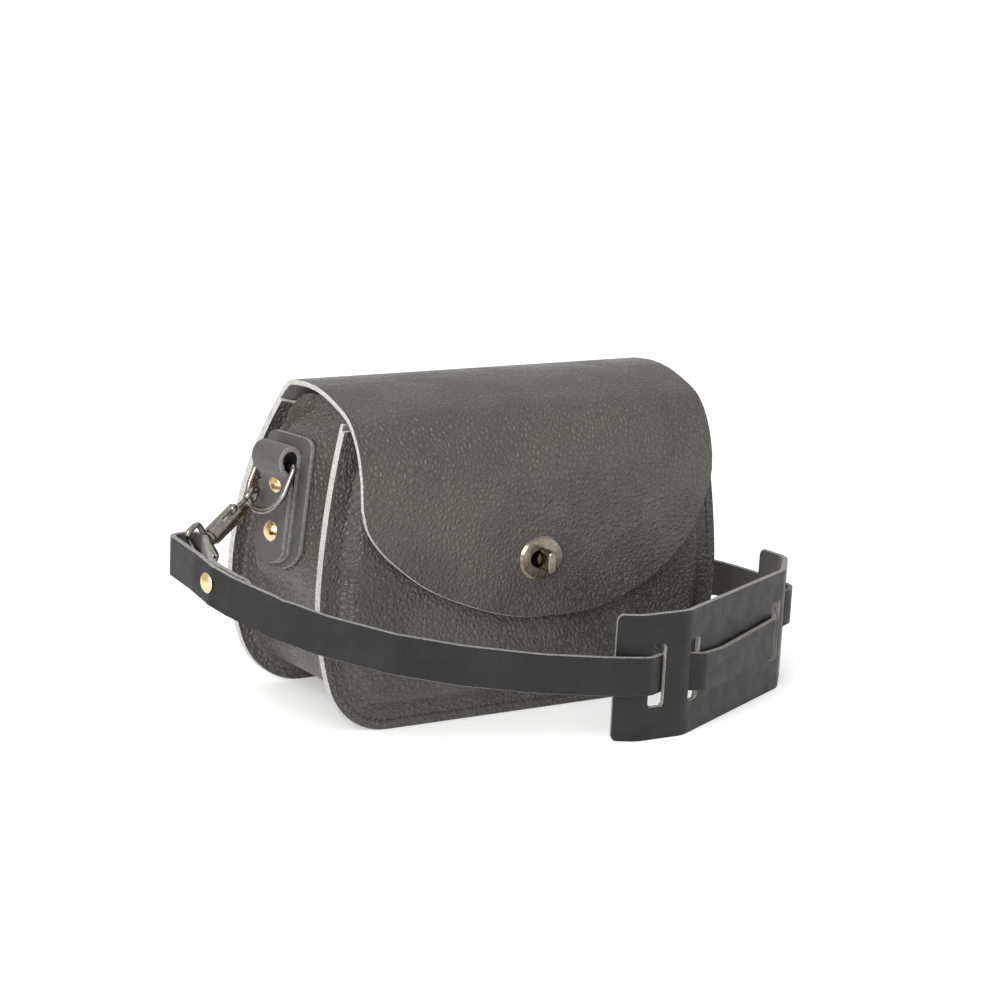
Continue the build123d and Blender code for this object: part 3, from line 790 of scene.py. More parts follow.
@dataclass
class Case:
    """The bag's front, back and gusset, all hung from one outline."""

    foot: float = 76.0
    flank: Point2 = (107.0, 23.0)
    side: Point2 = (112.5, 72.0)
    side_top: Point2 = (97.5, 158.0)
    outline_top: float = 157.0
    leather: float = 2.4
    lean: float = 0.04792
    front_y: float = -46.0
    front_height: float = 144.0
    back_height: float = 146.0
    gusset_height: float = 147.0
    crown_inset: float = 13.0
    crown_top: float = 128.0
    crown_rise: float = 5.5
    seam_inset: float = 4.3
    web_inset: float = 9.0
    flange_bend: Tuple[Point2, ...] = (
        (0.0, 0.0), (2.5, 0.0), (5.0, 0.05), (6.6, 0.3), (7.9, 1.1), (8.6, 2.6), (9.0, 4.6),
    )
    flap_underside: Tuple[Point2, ...] = (
        (-38.0, 147.5), (-34.0, 149.5), (-24.0, 152.8), (-14.0, 155.4), (-5.0, 156.7),
        (4.0, 156.8), (14.0, 155.9), (20.0, 153.8), (25.0, 149.0),
    )

    def outline(self, top: float, count: int) -> np.ndarray:
        """Samples the bag's outline from its left top, round its foot, to its right top.

        Args:
            top: the height at which both ends are cut.
            count: how many samples to return.

        Returns:
            The outline's x and z, one row each.
        """
        lower, way = tangent_arc((self.foot, 0.0), self.flank, (1.0, 0.0), 24)
        middle, way = tangent_arc(self.flank, self.side, way, 40)
        upper, way = tangent_arc(self.side, self.side_top, way, 60)
        right = np.vstack([[[0.0, 0.0]], lower, middle[1:], upper[1:]])
        cut = int(np.argmax(right[:, 1] > top)) or len(right) - 1
        share = (top - right[cut - 1, 1]) / (right[cut, 1] - right[cut - 1, 1])
        end = right[cut - 1] + (right[cut] - right[cut - 1]) * share
        right = np.vstack([right[:cut], end])
        left = right[1:][::-1] * np.array([-1.0, 1.0])
        return even_samples(np.vstack([left, right]), count)

    def front_at(self, z: np.ndarray) -> np.ndarray:
        """Returns the y of the front panel's outer face at a height."""
        return self.front_y + self.lean * z

    def half_width(self, z: np.ndarray) -> np.ndarray:
        """Returns the outline's half width at each height."""
        line = self.outline(self.outline_top, 1200)
        right = line[line[:, 0] >= 0]
        order = np.argsort(right[:, 1], kind="stable")
        return np.interp(z, right[order, 1], right[order, 0])

    def edge_distance(self, x: np.ndarray, z: np.ndarray) -> np.ndarray:
        """Returns the distance from each point to the outline."""
        line = self.outline(self.outline_top, 500)
        batch = 4000
        flat = np.stack([x.ravel(), z.ravel()], 1)
        gaps = np.empty(len(flat))
        for start in range(0, len(flat), batch):
            offset = flat[start : start + batch, None, :] - line[None, :, :]
            gaps[start : start + batch] = np.sqrt((offset**2).sum(2)).min(1)
        return gaps.reshape(x.shape)

    def heights(self, top: float, count: int) -> np.ndarray:
        """Returns grid rows' heights, close together round the foot's corners."""
        t = np.linspace(0.0, 1.0, count)
        return top * (0.35 * t + 0.65 * t**1.9)

    def front(self, shop: Workshop) -> Piece:
        """Builds the front panel with its raised, moulded middle.

        Args:
            shop: the finishes.

        Returns:
            The front panel.
        """
        z = self.heights(self.front_height, 120)
        u = np.linspace(-1.0, 1.0, 181)
        u = np.sign(u) * np.abs(u) ** 0.85
        zz, uu = np.meshgrid(z, u, indexing="ij")
        xx = uu * self.half_width(zz)
        edge = self.edge_distance(xx, zz)
        crown = smooth_step(self.crown_inset - 3.5, self.crown_inset + 4.5, edge)
        crown *= self.crown_rise * (1.0 - smooth_step(self.crown_top - 8, self.crown_top + 1, zz))
        sag = 0.3 * np.sin(xx / 31.0 + 0.8) * np.sin(zz / 24.0) * smooth_step(14, 40, edge)
        dip = 0.22 * np.exp(-(((edge - self.seam_inset) / 0.7) ** 2))
        yy = self.front_at(zz) + self.leather / 2 - crown - sag + dip
        sheet = Sheet(np.stack([xx, yy, zz], 2), self.leather, flip=True)
        made = sheet.build("front_skin", shop.grey_leather)
        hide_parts("front_panel")
        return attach(made, "bag")

    def gusset(self, shop: Workshop, tabs: Sequence["Tab"]) -> Piece:
        """Builds the gusset, its two turned-out seam flanges and its pinched web.

        Args:
            shop: the finishes.
            tabs: the tabs that lie on it.

        Returns:
            The gusset.
        """
        line = self.outline(self.gusset_height, 300)
        inward, z = inward_of(line), line[:, 1]

        def column(inset: np.ndarray, y: np.ndarray) -> np.ndarray:
            """Returns a column of the grid, cut off at the gusset's top."""
            spot = line + inward * np.broadcast_to(inset, len(line))[:, None]
            return np.stack([spot[:, 0], y, np.minimum(spot[:, 1], self.gusset_height)], 1)

        front = self.front_at(z) + self.leather * 1.5
        back = back_profile(z) - self.leather * 1.5
        low, high = front + 6.0, back - 6.0
        columns = [column(inset, front + ahead) for inset, ahead in self.flange_bend]
        first, last = 0.06, 0.94
        for t in np.linspace(first, last, 34):
            inset = self.web_inset + 1.9 * math.sin(math.pi * t) ** 0.8
            fold = 1.5 * math.exp(-(((t - 0.80) / 0.07) ** 2)) * smooth_step(20.0, 70.0, z)
            share = (t - first) / (last - first)
            columns.append(column(inset + fold, low + (high - low) * share))
        columns += [column(inset, back - ahead) for inset, ahead in self.flange_bend[::-1]]
        grid = np.stack(columns, 1)
        under = np.interp(grid[:, :, 1], *zip(*self.flap_underside))
        lift = np.maximum(under - 2.0 - self.gusset_height, 0.0)
        grid[:, :, 2] += lift * smooth_step(118.0, self.gusset_height, grid[:, :, 2])
        for tab in tabs:
            grid = tab.lift(grid, len(self.flange_bend))
        made = Sheet(grid, self.leather, flip=True).build("gusset_skin", shop.grey_leather)
        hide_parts("gusset")
        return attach(made, "bag")

    def back_and_top(self, shop: Workshop, flap: "Flap") -> Piece:
        """Builds the back panel and the rear half of the top as one sheet that folds.

        Args:
            shop: the finishes.
            flap: the flap that carries on from it.

        Returns:
            The sheet.
        """
        z = self.heights(self.back_height, 100)
        back = np.stack([back_profile(z) - self.leather / 2, z], 1)
        fold = ((26.2, 149.9), (23.8, 153.6))
        corner = curve_through([back[-4], back[-1], *fold, *flap.rear], 60)
        path = np.vstack([back[:-4], corner])
        y, z = path[:, 0], path[:, 1]
        u = np.linspace(-1.0, 1.0, 151)
        u = np.sign(u) * np.abs(u) ** 0.9
        reach = np.where(y > 24.5, self.half_width(np.minimum(z, 151.0)), flap.half_width)
        grid = np.zeros((len(path), len(u), 3))
        grid[:, :, 0] = reach[:, None] * u[None, :]
        grid[:, :, 1] = y[:, None]
        grid[:, :, 2] = z[:, None]
        made = Sheet(grid, self.leather).build("back_and_top_skin", shop.grey_leather)
        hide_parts("back_panel", "flap_top")
        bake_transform(made)
        return made

    def seams(self, shop: Workshop) -> List[Piece]:
        """Sews the front and the back to the gusset's flanges.

        Args:
            shop: the finishes.

        Returns:
            The two rows of stitches.
        """
        line = self.outline(self.front_height - 3.0, 500)
        line = line + inward_of(line) * self.seam_inset
        x, z = line[:, 0], line[:, 1]
        stitches = Stitches()
        tree = stitches.tree(shop.thread)
        rows = []
        for name, y in (
            ("front_seam_stitches", self.front_at(z) - 0.05),
            ("back_seam_stitches", back_profile(z) + 0.05),
        ):
            made = stitches.sew(name, np.stack([x, y, z], 1), tree)
            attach(made, "bag")
            rows.append(made)
        return rows


@dataclass
class Flap:
    """The flap from the middle of the top, over the front crease and down the front."""

    half_width: float = 98.6
    leather: float = 2.4
    face_y: float = -54.5
    rear: Tuple[Point2, ...] = ((20.4, 156.0), (14.0, 157.2), (4.0, 158.1), (-5.0, 158.0))
    ahead: Tuple[Point2, ...] = (
        (-5.0, 158.0), (-14.0, 156.7), (-24.0, 154.1), (-33.0, 151.0), (-39.0, 147.6),
        (-44.6, 141.4), (-49.0, 133.0), (-52.0, 122.0),
    )
    edge: Tuple[Point2, ...] = (
        (-98.6, 110.5), (-96.0, 100.6), (-89.5, 91.4), (-80.5, 83.0), (-62.0, 69.5),
        (-39.0, 59.0), (-15.0, 51.6), (5.0, 49.6), (35.0, 51.0), (64.0, 62.0),
        (80.5, 75.0), (89.5, 88.0), (96.0, 105.0), (98.4, 114.5),
    )
    hole: Point2 = (7.5, 5.6)
    lock_z: float = 79.0
    crease_z: float = 120.0

    def front_skin(self, shop: Workshop) -> Piece:
        """Builds the front half of the top and the whole front as one sheet that creases.

        Args:
            shop: the finishes.

        Returns:
            The sheet.
        """
        u = np.linspace(-1.0, 1.0, 161)
        path = curve_through(self.ahead, 60)
        edge = curve_through(self.edge, 161)
        rows = [
            np.stack([u * self.half_width, np.full_like(u, y), np.full_like(u, z)], 1)
            for y, z in path
        ]
        for t in np.linspace(0.0, 1.0, 91)[1:]:
            t = t * (1.35 - 0.35 * t)
            x = (1 - t) * u * self.half_width + t * edge[:, 0]
            z = (1 - t) * path[-1][1] + t * edge[:, 1]
            y = self.face_y + self.leather / 2 + 1.3 * smooth_step(104.0, 122.5, z)
            rows.append(np.stack([x, y, z], 1))
        grid = np.stack(rows, 0)
        x, z = grid[:, :, 0], grid[:, :, 2]
        down = 1.0 - smooth_step(96.0, 148.0, z)
        grid[:, :, 1] += down * (0.5 * np.sin(x / 27.0 + 1.0) * np.sin(z / 19.0 + 0.5) - 0.2)
        grid[:, :, 1] += -1.2 * smooth_step(66.0, 99.0, np.abs(x)) * down
        grid[:, :, 2] += 0.35 * np.exp(-((x / 40.0) ** 2)) * (1.0 - down)
        grid, keep = self._lock_hole(grid)
        made = Sheet(grid, self.leather, keep=keep).build("flap_skin", shop.grey_leather)
        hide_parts("flap_front")
        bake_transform(made)
        return made

    def _lock_hole(self, grid: np.ndarray) -> Tuple[np.ndarray, np.ndarray]:
        """Cuts the lock's opening, and pulls the cut's rim onto an oval.

        Args:
            grid: the flap's points.

        Returns:
            The moved points, and which cells to keep.
        """
        wide, high = self.hole
        mid = (grid[:-1, :-1] + grid[1:, 1:]) / 2
        inside = (mid[:, :, 0] / wide) ** 2 + ((mid[:, :, 2] - self.lock_z) / high) ** 2
        keep = (inside > 1.0) | (mid[:, :, 2] > self.crease_z)
        x, z = grid[:, :, 0], grid[:, :, 2] - self.lock_z
        size = np.sqrt((x / wide) ** 2 + (z / high) ** 2)
        near = (np.abs(size - 1.0) < 0.24) & (grid[:, :, 2] < self.crease_z)
        scale = np.where(near, 1.0 + (1.0 - size) * 0.75 / np.maximum(size, 1e-6), 1.0)
        grid[:, :, 0] = x * scale
        grid[:, :, 2] = z * scale + self.lock_z
        return grid, keep


def foot_reach(up: np.ndarray, bottom: float, half: float, blunt: float) -> np.ndarray:
    """Returns a strip's half width at each height, round at its foot."""
    gap = np.clip(bottom + half - up, 0.0, half)
    return np.minimum(np.sqrt(half**2 - gap**2) + blunt, half)


@dataclass
class Tab:
    """One dee-ring tab: a base ply sewn under a folded loop."""

    side: Side
    origin: Point3 = (-106.2, 6.1, 99.0)
    turn: float = 12.0
    lean: float = 6.5
    base_half: float = 16.0
    base_top: float = 35.0
    base_bottom: float = -29.0
    base_thick: float = 2.6
    corner: float = 5.0
    loop_half: float = 10.0
    loop_bottom: float = -26.5
    ply: float = 2.7
    eye: Point2 = (24.2, 9.5)
    bore: float = 4.2
    web_at: float = -1.35

    def axes(self) -> Tuple[np.ndarray, np.ndarray, np.ndarray]:
        """Returns the tab's across, up and outward directions at the left end."""
        turn, lean = math.radians(self.turn), math.radians(self.lean)
        across = np.array([math.sin(turn), -math.cos(turn), 0.0])
        out = np.array(
            [-math.cos(turn) * math.cos(lean), -math.sin(turn) * math.cos(lean), math.sin(lean)]
        )
        return across, np.cross(out, across), out

    def place(self, local: np.ndarray) -> np.ndarray:
        """Moves points from the tab's own frame to the bag's."""
        return (np.array(self.origin) + local @ np.stack(self.axes())) * self.side.mirror

    def lift(self, grid: np.ndarray, margin: int) -> np.ndarray:
        """Moves the gusset's web out to the tab's back where the tab lies on it.

        Args:
            grid: the gusset's points.
            margin: how many columns at each edge make up a flange.

        Returns:
            The moved points.
        """
        mirrored = grid * self.side.mirror
        across, up, out = self.axes()
        offset = mirrored - np.array(self.origin)
        a, b, c = offset @ across, offset @ up, offset @ out
        beyond = np.maximum(np.abs(a) - self.base_half, 0.0)
        above = np.maximum(np.maximum(b - self.base_top, self.base_bottom - b), 0.0)
        share = (1.0 - smooth_step(0.0, 15.0, np.hypot(beyond, above))) * (np.abs(c) < 30.0)
        fade = np.zeros(grid.shape[1])
        ramp = smooth_step(0.0, 9.0, np.arange(grid.shape[1] - 2.0 * margin + 2.0))
        fade[margin - 1 : grid.shape[1] - margin + 1] = ramp * ramp[::-1]
        push = (self.web_at - c) * share * fade
        return (mirrored + push[:, :, None] * out) * self.side.mirror

    def base(self, shop: Workshop) -> Piece:
        """Builds the base ply, round at its foot.

        Args:
            shop: the finishes.

        Returns:
            The base ply.
        """
        t = np.linspace(0.0, 1.0, 70)
        up = self.base_bottom + (self.base_top - self.base_bottom) * (0.5 * t + 0.5 * t**1.6)
        over = np.maximum(up - (self.base_top - self.corner), 0.0)
        trim = self.corner - np.sqrt(np.maximum(self.corner**2 - over**2, 0.0))
        reach = foot_reach(up, self.base_bottom, self.base_half, 1.2) - trim
        line = np.stack([up, np.full_like(up, self.base_thick / 2 + 0.1)], 1)
        sheet = self._strip(line, reach, 30, self.base_thick)
        made = sheet.build(f"tab_base_skin_{self.side.value}", shop.black_leather)
        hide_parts(f"tab_base_{self.side.value}")
        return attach(made, "bag")

    def loop(self, shop: Workshop) -> Piece:
        """Builds the loop: up from its foot, round the ring's bar and down behind itself.

        Args:
            shop: the finishes.

        Returns:
            The loop.
        """
        line = self._loop_path()
        reach = foot_reach(line[:, 0], self.loop_bottom, self.loop_half, 0.8)
        sheet = self._strip(line, reach, 16, self.ply)
        made = sheet.build(f"tab_loop_skin_{self.side.value}", shop.black_leather)
        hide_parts(f"tab_loop_{self.side.value}")
        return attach(made, "bag")

    def _strip(self, line: np.ndarray, reach: np.ndarray, columns: int, thick: float) -> Sheet:
        """Lays a strip of leather across the tab.

        Args:
            line: the strip's middle line, in height and distance outwards.
            reach: its half width at each point of the line.
            columns: how many points lie across it.
            thick: its thickness.

        Returns:
            The strip.
        """
        grid = np.zeros((len(line), columns, 3))
        grid[:, :, 0] = np.outer(reach, np.linspace(-1.0, 1.0, columns))
        grid[:, :, 1:] = line[:, None, :]
        placed = self.place(grid.reshape(-1, 3)).reshape(grid.shape)
        return Sheet(placed, thick, flip=self.side is Side.RIGHT)

    def _loop_path(self) -> np.ndarray:
        """Returns the loop's middle line in height and distance outwards."""
        up, out = self.eye
        inner = self.base_thick + self.ply / 2
        outer = self.base_thick + self.ply * 1.5 + 0.15
        mid = self.bore + self.ply / 2
        around = [
            (up + mid * math.sin(math.radians(a)), out + mid * math.cos(math.radians(a)))
            for a in range(-35, 181, 12)
        ]
        outside = [(self.loop_bottom + d, outer) for d in (0.0, 8.0, 16.0, 24.0, 30.0)]
        outside += [(up - 13.0, outer + 0.4), (up - 8.2, outer + 2.6), (up - 5.6, out + mid * 0.62)]
        behind = [(up - 4.0, out - mid), (up - 9.0, inner), (up - 16.0, inner)]
        behind += [(self.loop_bottom + d, inner) for d in (26.0, 18.0, 9.0, 0.0)]
        return curve_through(outside + around + behind, 170)


@dataclass
class Strap:
    """The carrying strap: hooked at both ends and woven through the shoulder pad.

    A route is given in x and y. Each table of heights gives z at an x or a y.
    """

    width: float = 18.4
    thick: float = 2.6
    bend: float = 6.6
    fold_bend: float = 7.2
    step: float = 0.9
    tip_round: float = 5.0
    floor_height: float = 9.4
    fold: Tuple[Point2, ...] = (
        (-150.9, -45.6), (-155.0, -38.7), (-159.0, -29.2), (-159.8, -23.0),
        (-150.0, 3.0), (-150.5, 11.5), (-165.0, 11.5), (-163.8, -16.0),
        (-161.8, -30.0), (-157.6, -40.0), (-147.4, -57.0),
    )
    fold_heights: Tuple[Point2, ...] = (
        (-60, 67), (-46, 70.5), (-30, 75), (-16, 78.5), (4, 80.5), (20, 80.5),
    )
    front: Tuple[Point2, ...] = (
        (-144.6, -60.6), (-127.0, -74.0), (-99.0, -90.0), (-68.7, -97.0),
        (-29.0, -103.0), (7.0, -108.4),
    )
    back: Tuple[Point2, ...] = (
        (156.0, -5.0), (151.0, 20.0), (152.0, 40.0), (146.0, 66.0), (128.0, 95.0),
        (100.0, 99.0), (-70.0, 99.0), (-70.0, 85.0), (60.0, 85.0), (101.5, 80.7),
    )
    front_heights: Tuple[Point2, ...] = (
        (-150, 68.0), (-127, 59.5), (-99, 52), (-68.7, 45.3), (-29, 38.3), (8, 34),
        (28, 32.5), (80, 28), (132, 31), (150, 37), (170, 38.5),
    )
    side_heights: Tuple[Point2, ...] = ((-26, 38.5), (10, 38), (50, 27), (85, 12), (91, 9.4))
    inner_heights: Tuple[Point2, ...] = ((-90, 9.4), (-40, 9.4), (0, 20), (60, 44), (110, 69.5))
    left_hook: Point3 = (-123.777, 10.231, 103.397)
    right_hook: Point3 = (123.243, 10.626, 102.748)
    right_turn: float = -145.0

    def height_at(self, x: float, y: float) -> float:
        """Returns the height of the strap's centre line over a point on its route."""
        if 70.0 < y < 92.0 and x < 112.0:
            return self._from(self.inner_heights, x)
        if y > 91.0:
            return self.floor_height
        if x > 121.0 and y > -26.0:
            return self._from(self.side_heights, y)
        return self._from(self.front_heights, x)

    @staticmethod
    def _from(table: Sequence[Point2], value: float) -> float:
        """Reads a height off a table."""
        keys, heights = zip(*table)
        return float(np.interp(value, keys, heights))

    def fold_points(self, side: Side) -> np.ndarray:
        """Returns one end's fold, from its tip to where it joins the main strap."""
        flat = rounded_route(self.fold, self.fold_bend, self.step)
        flat[:, 2] = [self._from(self.fold_heights, y) for y in flat[:, 1]]
        if side is Side.RIGHT:
            turn = math.radians(self.right_turn)
            c, s = math.cos(turn), math.sin(turn)
            spin = np.array([[c, -s, 0], [s, c, 0], [0, 0, 1]])
            flat = (flat - np.array(self.left_hook)) @ spin.T + np.array(self.right_hook)
        return flat

    def main_points(self, weave: Sequence[Point2]) -> np.ndarray:
        """Returns the main run, from the left join to the right one."""
        flat = rounded_route((*self.front, *weave, *self.back), self.bend, self.step)
        heights = [self.height_at(x, y) for x, y, _ in flat]
        window = 13
        padded = np.pad(heights, window // 2, mode="edge")
        flat[:, 2] = np.convolve(padded, np.ones(window) / window, mode="valid")
        return flat

    def build(self, shop: Workshop, weave: Sequence[Point2], split: Point2) -> List[Piece]:
        """Builds the strap in three lengths, parted where other leather hides the joins.

        Args:
            shop: the finishes.
            weave: the route through the pad's slots.
            split: the point behind the pad where the left and middle lengths part.

        Returns:
            The left, middle and right lengths.
        """
        left, right = self.fold_points(Side.LEFT), self.fold_points(Side.RIGHT)
        main = self.main_points(weave)
        cut = int(np.argmin(np.hypot(main[:, 0] - split[0], main[:, 1] - split[1])))
        inner = (main[:, 1] > 80) & (main[:, 1] < 90)
        second = int(np.argmin(np.where(inner, np.abs(main[:, 0]), np.inf)))
        made = []
        for name, route, tip_first, tip_last in (
            ("strap_left_skin", np.vstack([left, main[1 : cut + 1]]), True, False),
            ("strap_middle_skin", main[cut : second + 1], False, False),
            ("strap_right_skin", np.vstack([main[second:-1], right[::-1]]), False, True),
        ):
            route = even_samples(route, int(distances(route)[-1]))
            grid = self._grid(route, tip_first, tip_last)
            made.append(Sheet(grid, self.thick).build(name, shop.black_leather))
        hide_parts("strap_end_left")
        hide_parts("strap_main")
        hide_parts("strap_end_right")
        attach(made[1], "bag")
        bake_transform(made[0])
        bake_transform(made[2])
        return made

    def _grid(self, route: np.ndarray, tip_first: bool, tip_last: bool) -> np.ndarray:
        """Lays the strap's grid upright along a route, its free tips cut to a soft round.

        Args:
            route: the strap's centre line.
            tip_first: whether the route starts at a free tip.
            tip_last: whether it ends at one.

        Returns:
            The grid of points: along the route, then across it.
        """
        along, half, corner = distances(route), self.width / 2, self.tip_round
        reach = np.full(len(route), half)
        for free, gap in ((tip_first, along), (tip_last, along[-1] - along)):
            if free:
                over = np.clip(corner - gap, 0.0, corner)
                reach = np.minimum(reach, half - corner + np.sqrt(corner**2 - over**2))
        way = np.gradient(route, axis=0)
        way /= np.linalg.norm(way, axis=1, keepdims=True)
        rise = np.array([0.0, 0.0, 1.0]) - way * way[:, 2:]
        rise /= np.linalg.norm(rise, axis=1, keepdims=True)
        across = np.outer(reach, np.linspace(-1.0, 1.0, 15))
        return route[:, None, :] + rise[:, None, :] * across[:, :, None]


@dataclass
class Pad:
    """The curved shoulder pad with four slots the strap is woven through."""

    line: Tuple[Point2, ...] = (
        (13.5, -102.5), (24.0, -108.0), (50.0, -108.7), (140.0, -65.0), (157.4, -44.4),
        (155.6, -26.5),
    )
    bend: float = 12.0
    thick: float = 2.6
    height: float = 62.0
    corner: float = 3.0
    slots: Tuple[Tuple[int, float], ...] = ((1, 9.5), (2, 7.0), (2, 92.0), (3, 17.0))
    slot_reach: float = 4.5
    slot_ends: Point2 = (16.0, 47.0)
    slot_round: float = 2.0
    weave: float = 3.4
    pass_reach: float = 5.3
    outer_turn: Point2 = (160.9, -45.5)

    def beside(self, leg: int, along: float, aside: float) -> Point2:
        """Returns a point beside one of the pad's straight legs."""
        start, end = np.array(self.line[leg]), np.array(self.line[leg + 1])
        way = (end - start) / np.linalg.norm(end - start)
        spot = start + way * along + np.array([way[1], -way[0]]) * aside
        return float(spot[0]), float(spot[1])

    def weave_route(self) -> List[Point2]:
        """Returns the strap's route in and out of the slots."""
        route: List[Point2] = []
        for (leg, along), sign in zip(self.slots, (1.0, -1.0, 1.0, -1.0)):
            route.append(self.beside(leg, along - self.pass_reach, sign * self.weave))
            route.append(self.beside(leg, along + self.pass_reach, -sign * self.weave))
        return [*route, self.outer_turn, self.beside(4, 12.0, self.weave)]

    def split_point(self) -> Point2:
        """Returns the middle of the strap's first run behind the pad."""
        (leg, along), (next_leg, next_along) = self.slots[:2]
        first = self.beside(leg, along + self.pass_reach, -self.weave)
        last = self.beside(next_leg, next_along - self.pass_reach, -self.weave)
        return (first[0] + last[0]) / 2, (first[1] + last[1]) / 2

    def build(self, shop: Workshop) -> Piece:
        """Builds the pad, its ends' corners cut round.

        Args:
            shop: the finishes.

        Returns:
            The pad.
        """
        route = rounded_route(self.line, self.bend, 0.75)
        along, heights = distances(route), np.linspace(0.0, self.height, 63)
        over = np.maximum(self.corner - np.minimum(along, along[-1] - along), 0.0)
        trim = self.corner - np.sqrt(self.corner**2 - over**2)
        grid = np.zeros((len(route), len(heights), 3))
        grid[:, :, :2] = route[:, None, :2]
        grid[:, :, 2] = np.linspace(trim, self.height - trim, len(heights)).T
        keep = self._slot_cells(route, along, heights)
        made = Sheet(grid, self.thick, keep=keep).build("shoulder_pad_skin", shop.black_leather)
        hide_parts("shoulder_pad")
        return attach(made, "bag")

    def _slot_cells(
        self, route: np.ndarray, along: np.ndarray, heights: np.ndarray
    ) -> np.ndarray:
        """Finds the cells that stay when the slots are cut, each slot round at its corners.

        Args:
            route: the pad's line.
            along: the distance along it at each point.
            heights: the grid's heights.

        Returns:
            Whether each cell stays.
        """
        keep = np.ones((len(route) - 1, len(heights) - 1), bool)
        z_mid, s_mid = (heights[:-1] + heights[1:]) / 2, (along[:-1] + along[1:]) / 2
        for leg, where in self.slots:
            x, y = self.beside(leg, where, 0.0)
            centre = along[int(np.argmin(np.hypot(route[:, 0] - x, route[:, 1] - y)))]
            for i in np.nonzero(np.abs(s_mid - centre) < self.slot_reach)[0]:
                inside = self.slot_reach - abs(s_mid[i] - centre)
                over = max(self.slot_round - inside, 0.0)
                trim = self.slot_round - math.sqrt(max(self.slot_round**2 - over**2, 0.0))
                low, high = self.slot_ends[0] + trim, self.slot_ends[1] - trim
                keep[i, (z_mid > low) & (z_mid < high)] = False
        return keep


# ------------------------------------------------------------------ metal fittings
@dataclass
class Fittings:
    """The metal parts, shown as their own CAD pieces with a plated finish."""

    ends: Tuple[str, ...] = ("", "_left", "_right")

    def dress(self, shop: Workshop) -> List[Piece]:
        """Gives every metal piece its finish.

        Args:
            shop: the finishes.

        Returns:
            The pieces.
        """
        dressed = []
        for material, stems in (
            (shop.old_brass, ("lock_plate", "turn_knob")),
            (shop.dark_steel, ("lock_washer", "lock_base", "base_washer")),
            (shop.brass, ("tab_rivets", "strap_rivet")),
            (shop.gunmetal, ("d_ring", "hook_body", "trigger", "swivel_eye")),
            (shop.steel, ("trigger_spring",)),
        ):
            for name in (stem + end for stem in stems for end in self.ends):
                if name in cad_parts:
                    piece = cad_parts[name]
                    piece.data.materials.clear()
                    piece.data.materials.append(material)
                    dressed.append(piece)
        return dressed


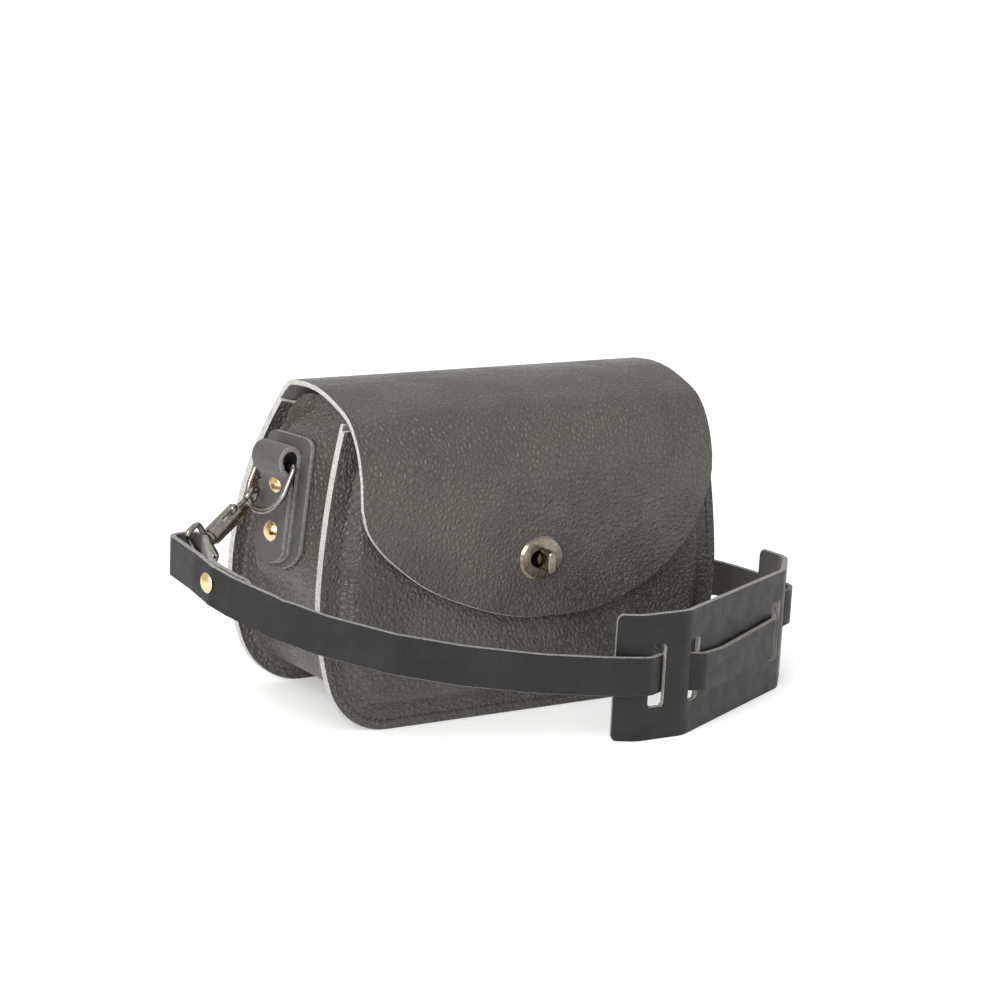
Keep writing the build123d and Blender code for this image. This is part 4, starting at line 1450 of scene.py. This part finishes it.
# ------------------------------------------------------------------ studio
@dataclass
class Studio:
    """A pale floor, soft light and a camera in front and to the left."""

    camera_at: Point3 = (-0.6932, -1.1039, 0.4049)
    azimuth: float = 32.505
    elevation: float = 14.061
    roll: float = 2.943
    focal: float = 97.652
    shift: Point2 = (0.00148, 0.03313)
    floor_reach: float = 30.0
    floor_drop: float = 0.0003

    def build(self) -> None:
        """Builds the whole studio."""
        self._floor()
        self._world()
        self._light("key_softbox", (-1.35, -0.85, 0.95), (0.0, 0.0, 0.08), 1.1, 26.0)
        self._light("fill_softbox", (1.3, -1.3, 1.2), (0.0, 0.0, 0.08), 1.6, 1.5)
        self._light("top_softbox", (0.1, 0.3, 1.9), (0.0, 0.0, 0.1), 1.2, 4.0)
        self._camera()

    def _floor(self) -> None:
        """Lays the floor."""
        r = self.floor_reach
        mesh = bpy.data.meshes.new("studio_floor")
        corners = [(-r, -r, 0.0), (r, -r, 0.0), (r, r, 0.0), (-r, r, 0.0)]
        mesh.from_pydata(corners, [], [(0, 1, 2, 3)])
        board = Board("studio_white")
        board.constants(
            {
                "Base Color": (0.92, 0.92, 0.92, 1.0),
                "Emission Color": (1.0, 1.0, 1.0, 1.0),
                "Emission Strength": 0.3,
                "Roughness": 0.9,
                "Specular IOR Level": 0.1,
            }
        )
        mesh.materials.append(board.material)
        floor = linked("studio_floor", mesh)
        floor.location = (0.0, 0.0, -self.floor_drop)

    def _world(self) -> None:
        """Lights the scene evenly from all round."""
        world = bpy.data.worlds.new("studio_world")
        world.use_nodes = True
        sky = world.node_tree.nodes["Background"]
        sky.inputs["Color"].default_value = (1.0, 1.0, 1.0, 1.0)
        sky.inputs["Strength"].default_value = 0.78
        bpy.context.scene.world = world
        bpy.context.scene.view_settings.view_transform = "Standard"

    def _light(self, name: str, at: Point3, target: Point3, size: float, power: float) -> None:
        """Adds a square area light aimed at a point.

        Args:
            name: the light's name.
            at: where it hangs, in metres.
            target: the point it faces.
            size: the length of its side.
            power: its power in watts.
        """
        lamp = bpy.data.lights.new(name, "AREA")
        lamp.energy = power
        lamp.size = size
        holder = linked(name, lamp)
        holder.location = at
        aim = Vector(target) - Vector(at)
        holder.rotation_euler = aim.to_track_quat("-Z", "Y").to_euler()

    def _camera(self) -> None:
        """Adds the camera."""
        a, e, r = (math.radians(v) for v in (self.azimuth, self.elevation, self.roll))
        ahead = Vector((math.sin(a) * math.cos(e), math.cos(a) * math.cos(e), -math.sin(e)))
        level = Vector((math.cos(a), -math.sin(a), 0.0))
        rise = level.cross(ahead)
        right = level * math.cos(r) + rise * math.sin(r)
        up = rise * math.cos(r) - level * math.sin(r)
        lens = bpy.data.cameras.new("view_camera")
        lens.lens = self.focal
        lens.sensor_width = 36.0
        lens.shift_x, lens.shift_y = self.shift
        lens.clip_end = 100.0
        camera = linked("view_camera", lens)
        turn = Matrix((right, up, -ahead)).transposed().to_4x4()
        camera.matrix_world = Matrix.Translation(self.camera_at) @ turn
        bpy.context.scene.camera = camera


# ------------------------------------------------------------------ the whole bag
@dataclass
class SaddleBag:
    """The bag: its body, flap, tabs, strap, pad and fittings."""

    case: Case = field(default_factory=Case)
    flap: Flap = field(default_factory=Flap)
    tabs: Tuple[Tab, Tab] = field(default_factory=lambda: (Tab(Side.LEFT), Tab(Side.RIGHT)))
    strap: Strap = field(default_factory=Strap)
    pad: Pad = field(default_factory=Pad)
    fittings: Fittings = field(default_factory=Fittings)

    def build(self, shop: Workshop) -> List[Piece]:
        """Builds and dresses every part.

        Args:
            shop: the finishes.

        Returns:
            The pieces, in the order they were made.
        """
        made = [
            self.case.front(shop),
            self.case.gusset(shop, self.tabs),
            self.case.back_and_top(shop, self.flap),
            self.flap.front_skin(shop),
        ]
        for tab in self.tabs:
            made += [tab.base(shop), tab.loop(shop)]
        made.append(self.pad.build(shop))
        made += self.strap.build(shop, self.pad.weave_route(), self.pad.split_point())
        made += self.fittings.dress(shop)
        return made + self.case.seams(shop)


def main() -> None:
    """Builds the bag and its studio, and reports each piece."""
    logging.basicConfig(level=logging.INFO)
    for piece in SaddleBag().build(Workshop()):
        log.info("built %s", piece.name)
    Studio().build()
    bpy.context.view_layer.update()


if __name__ == "__main__":
    main()
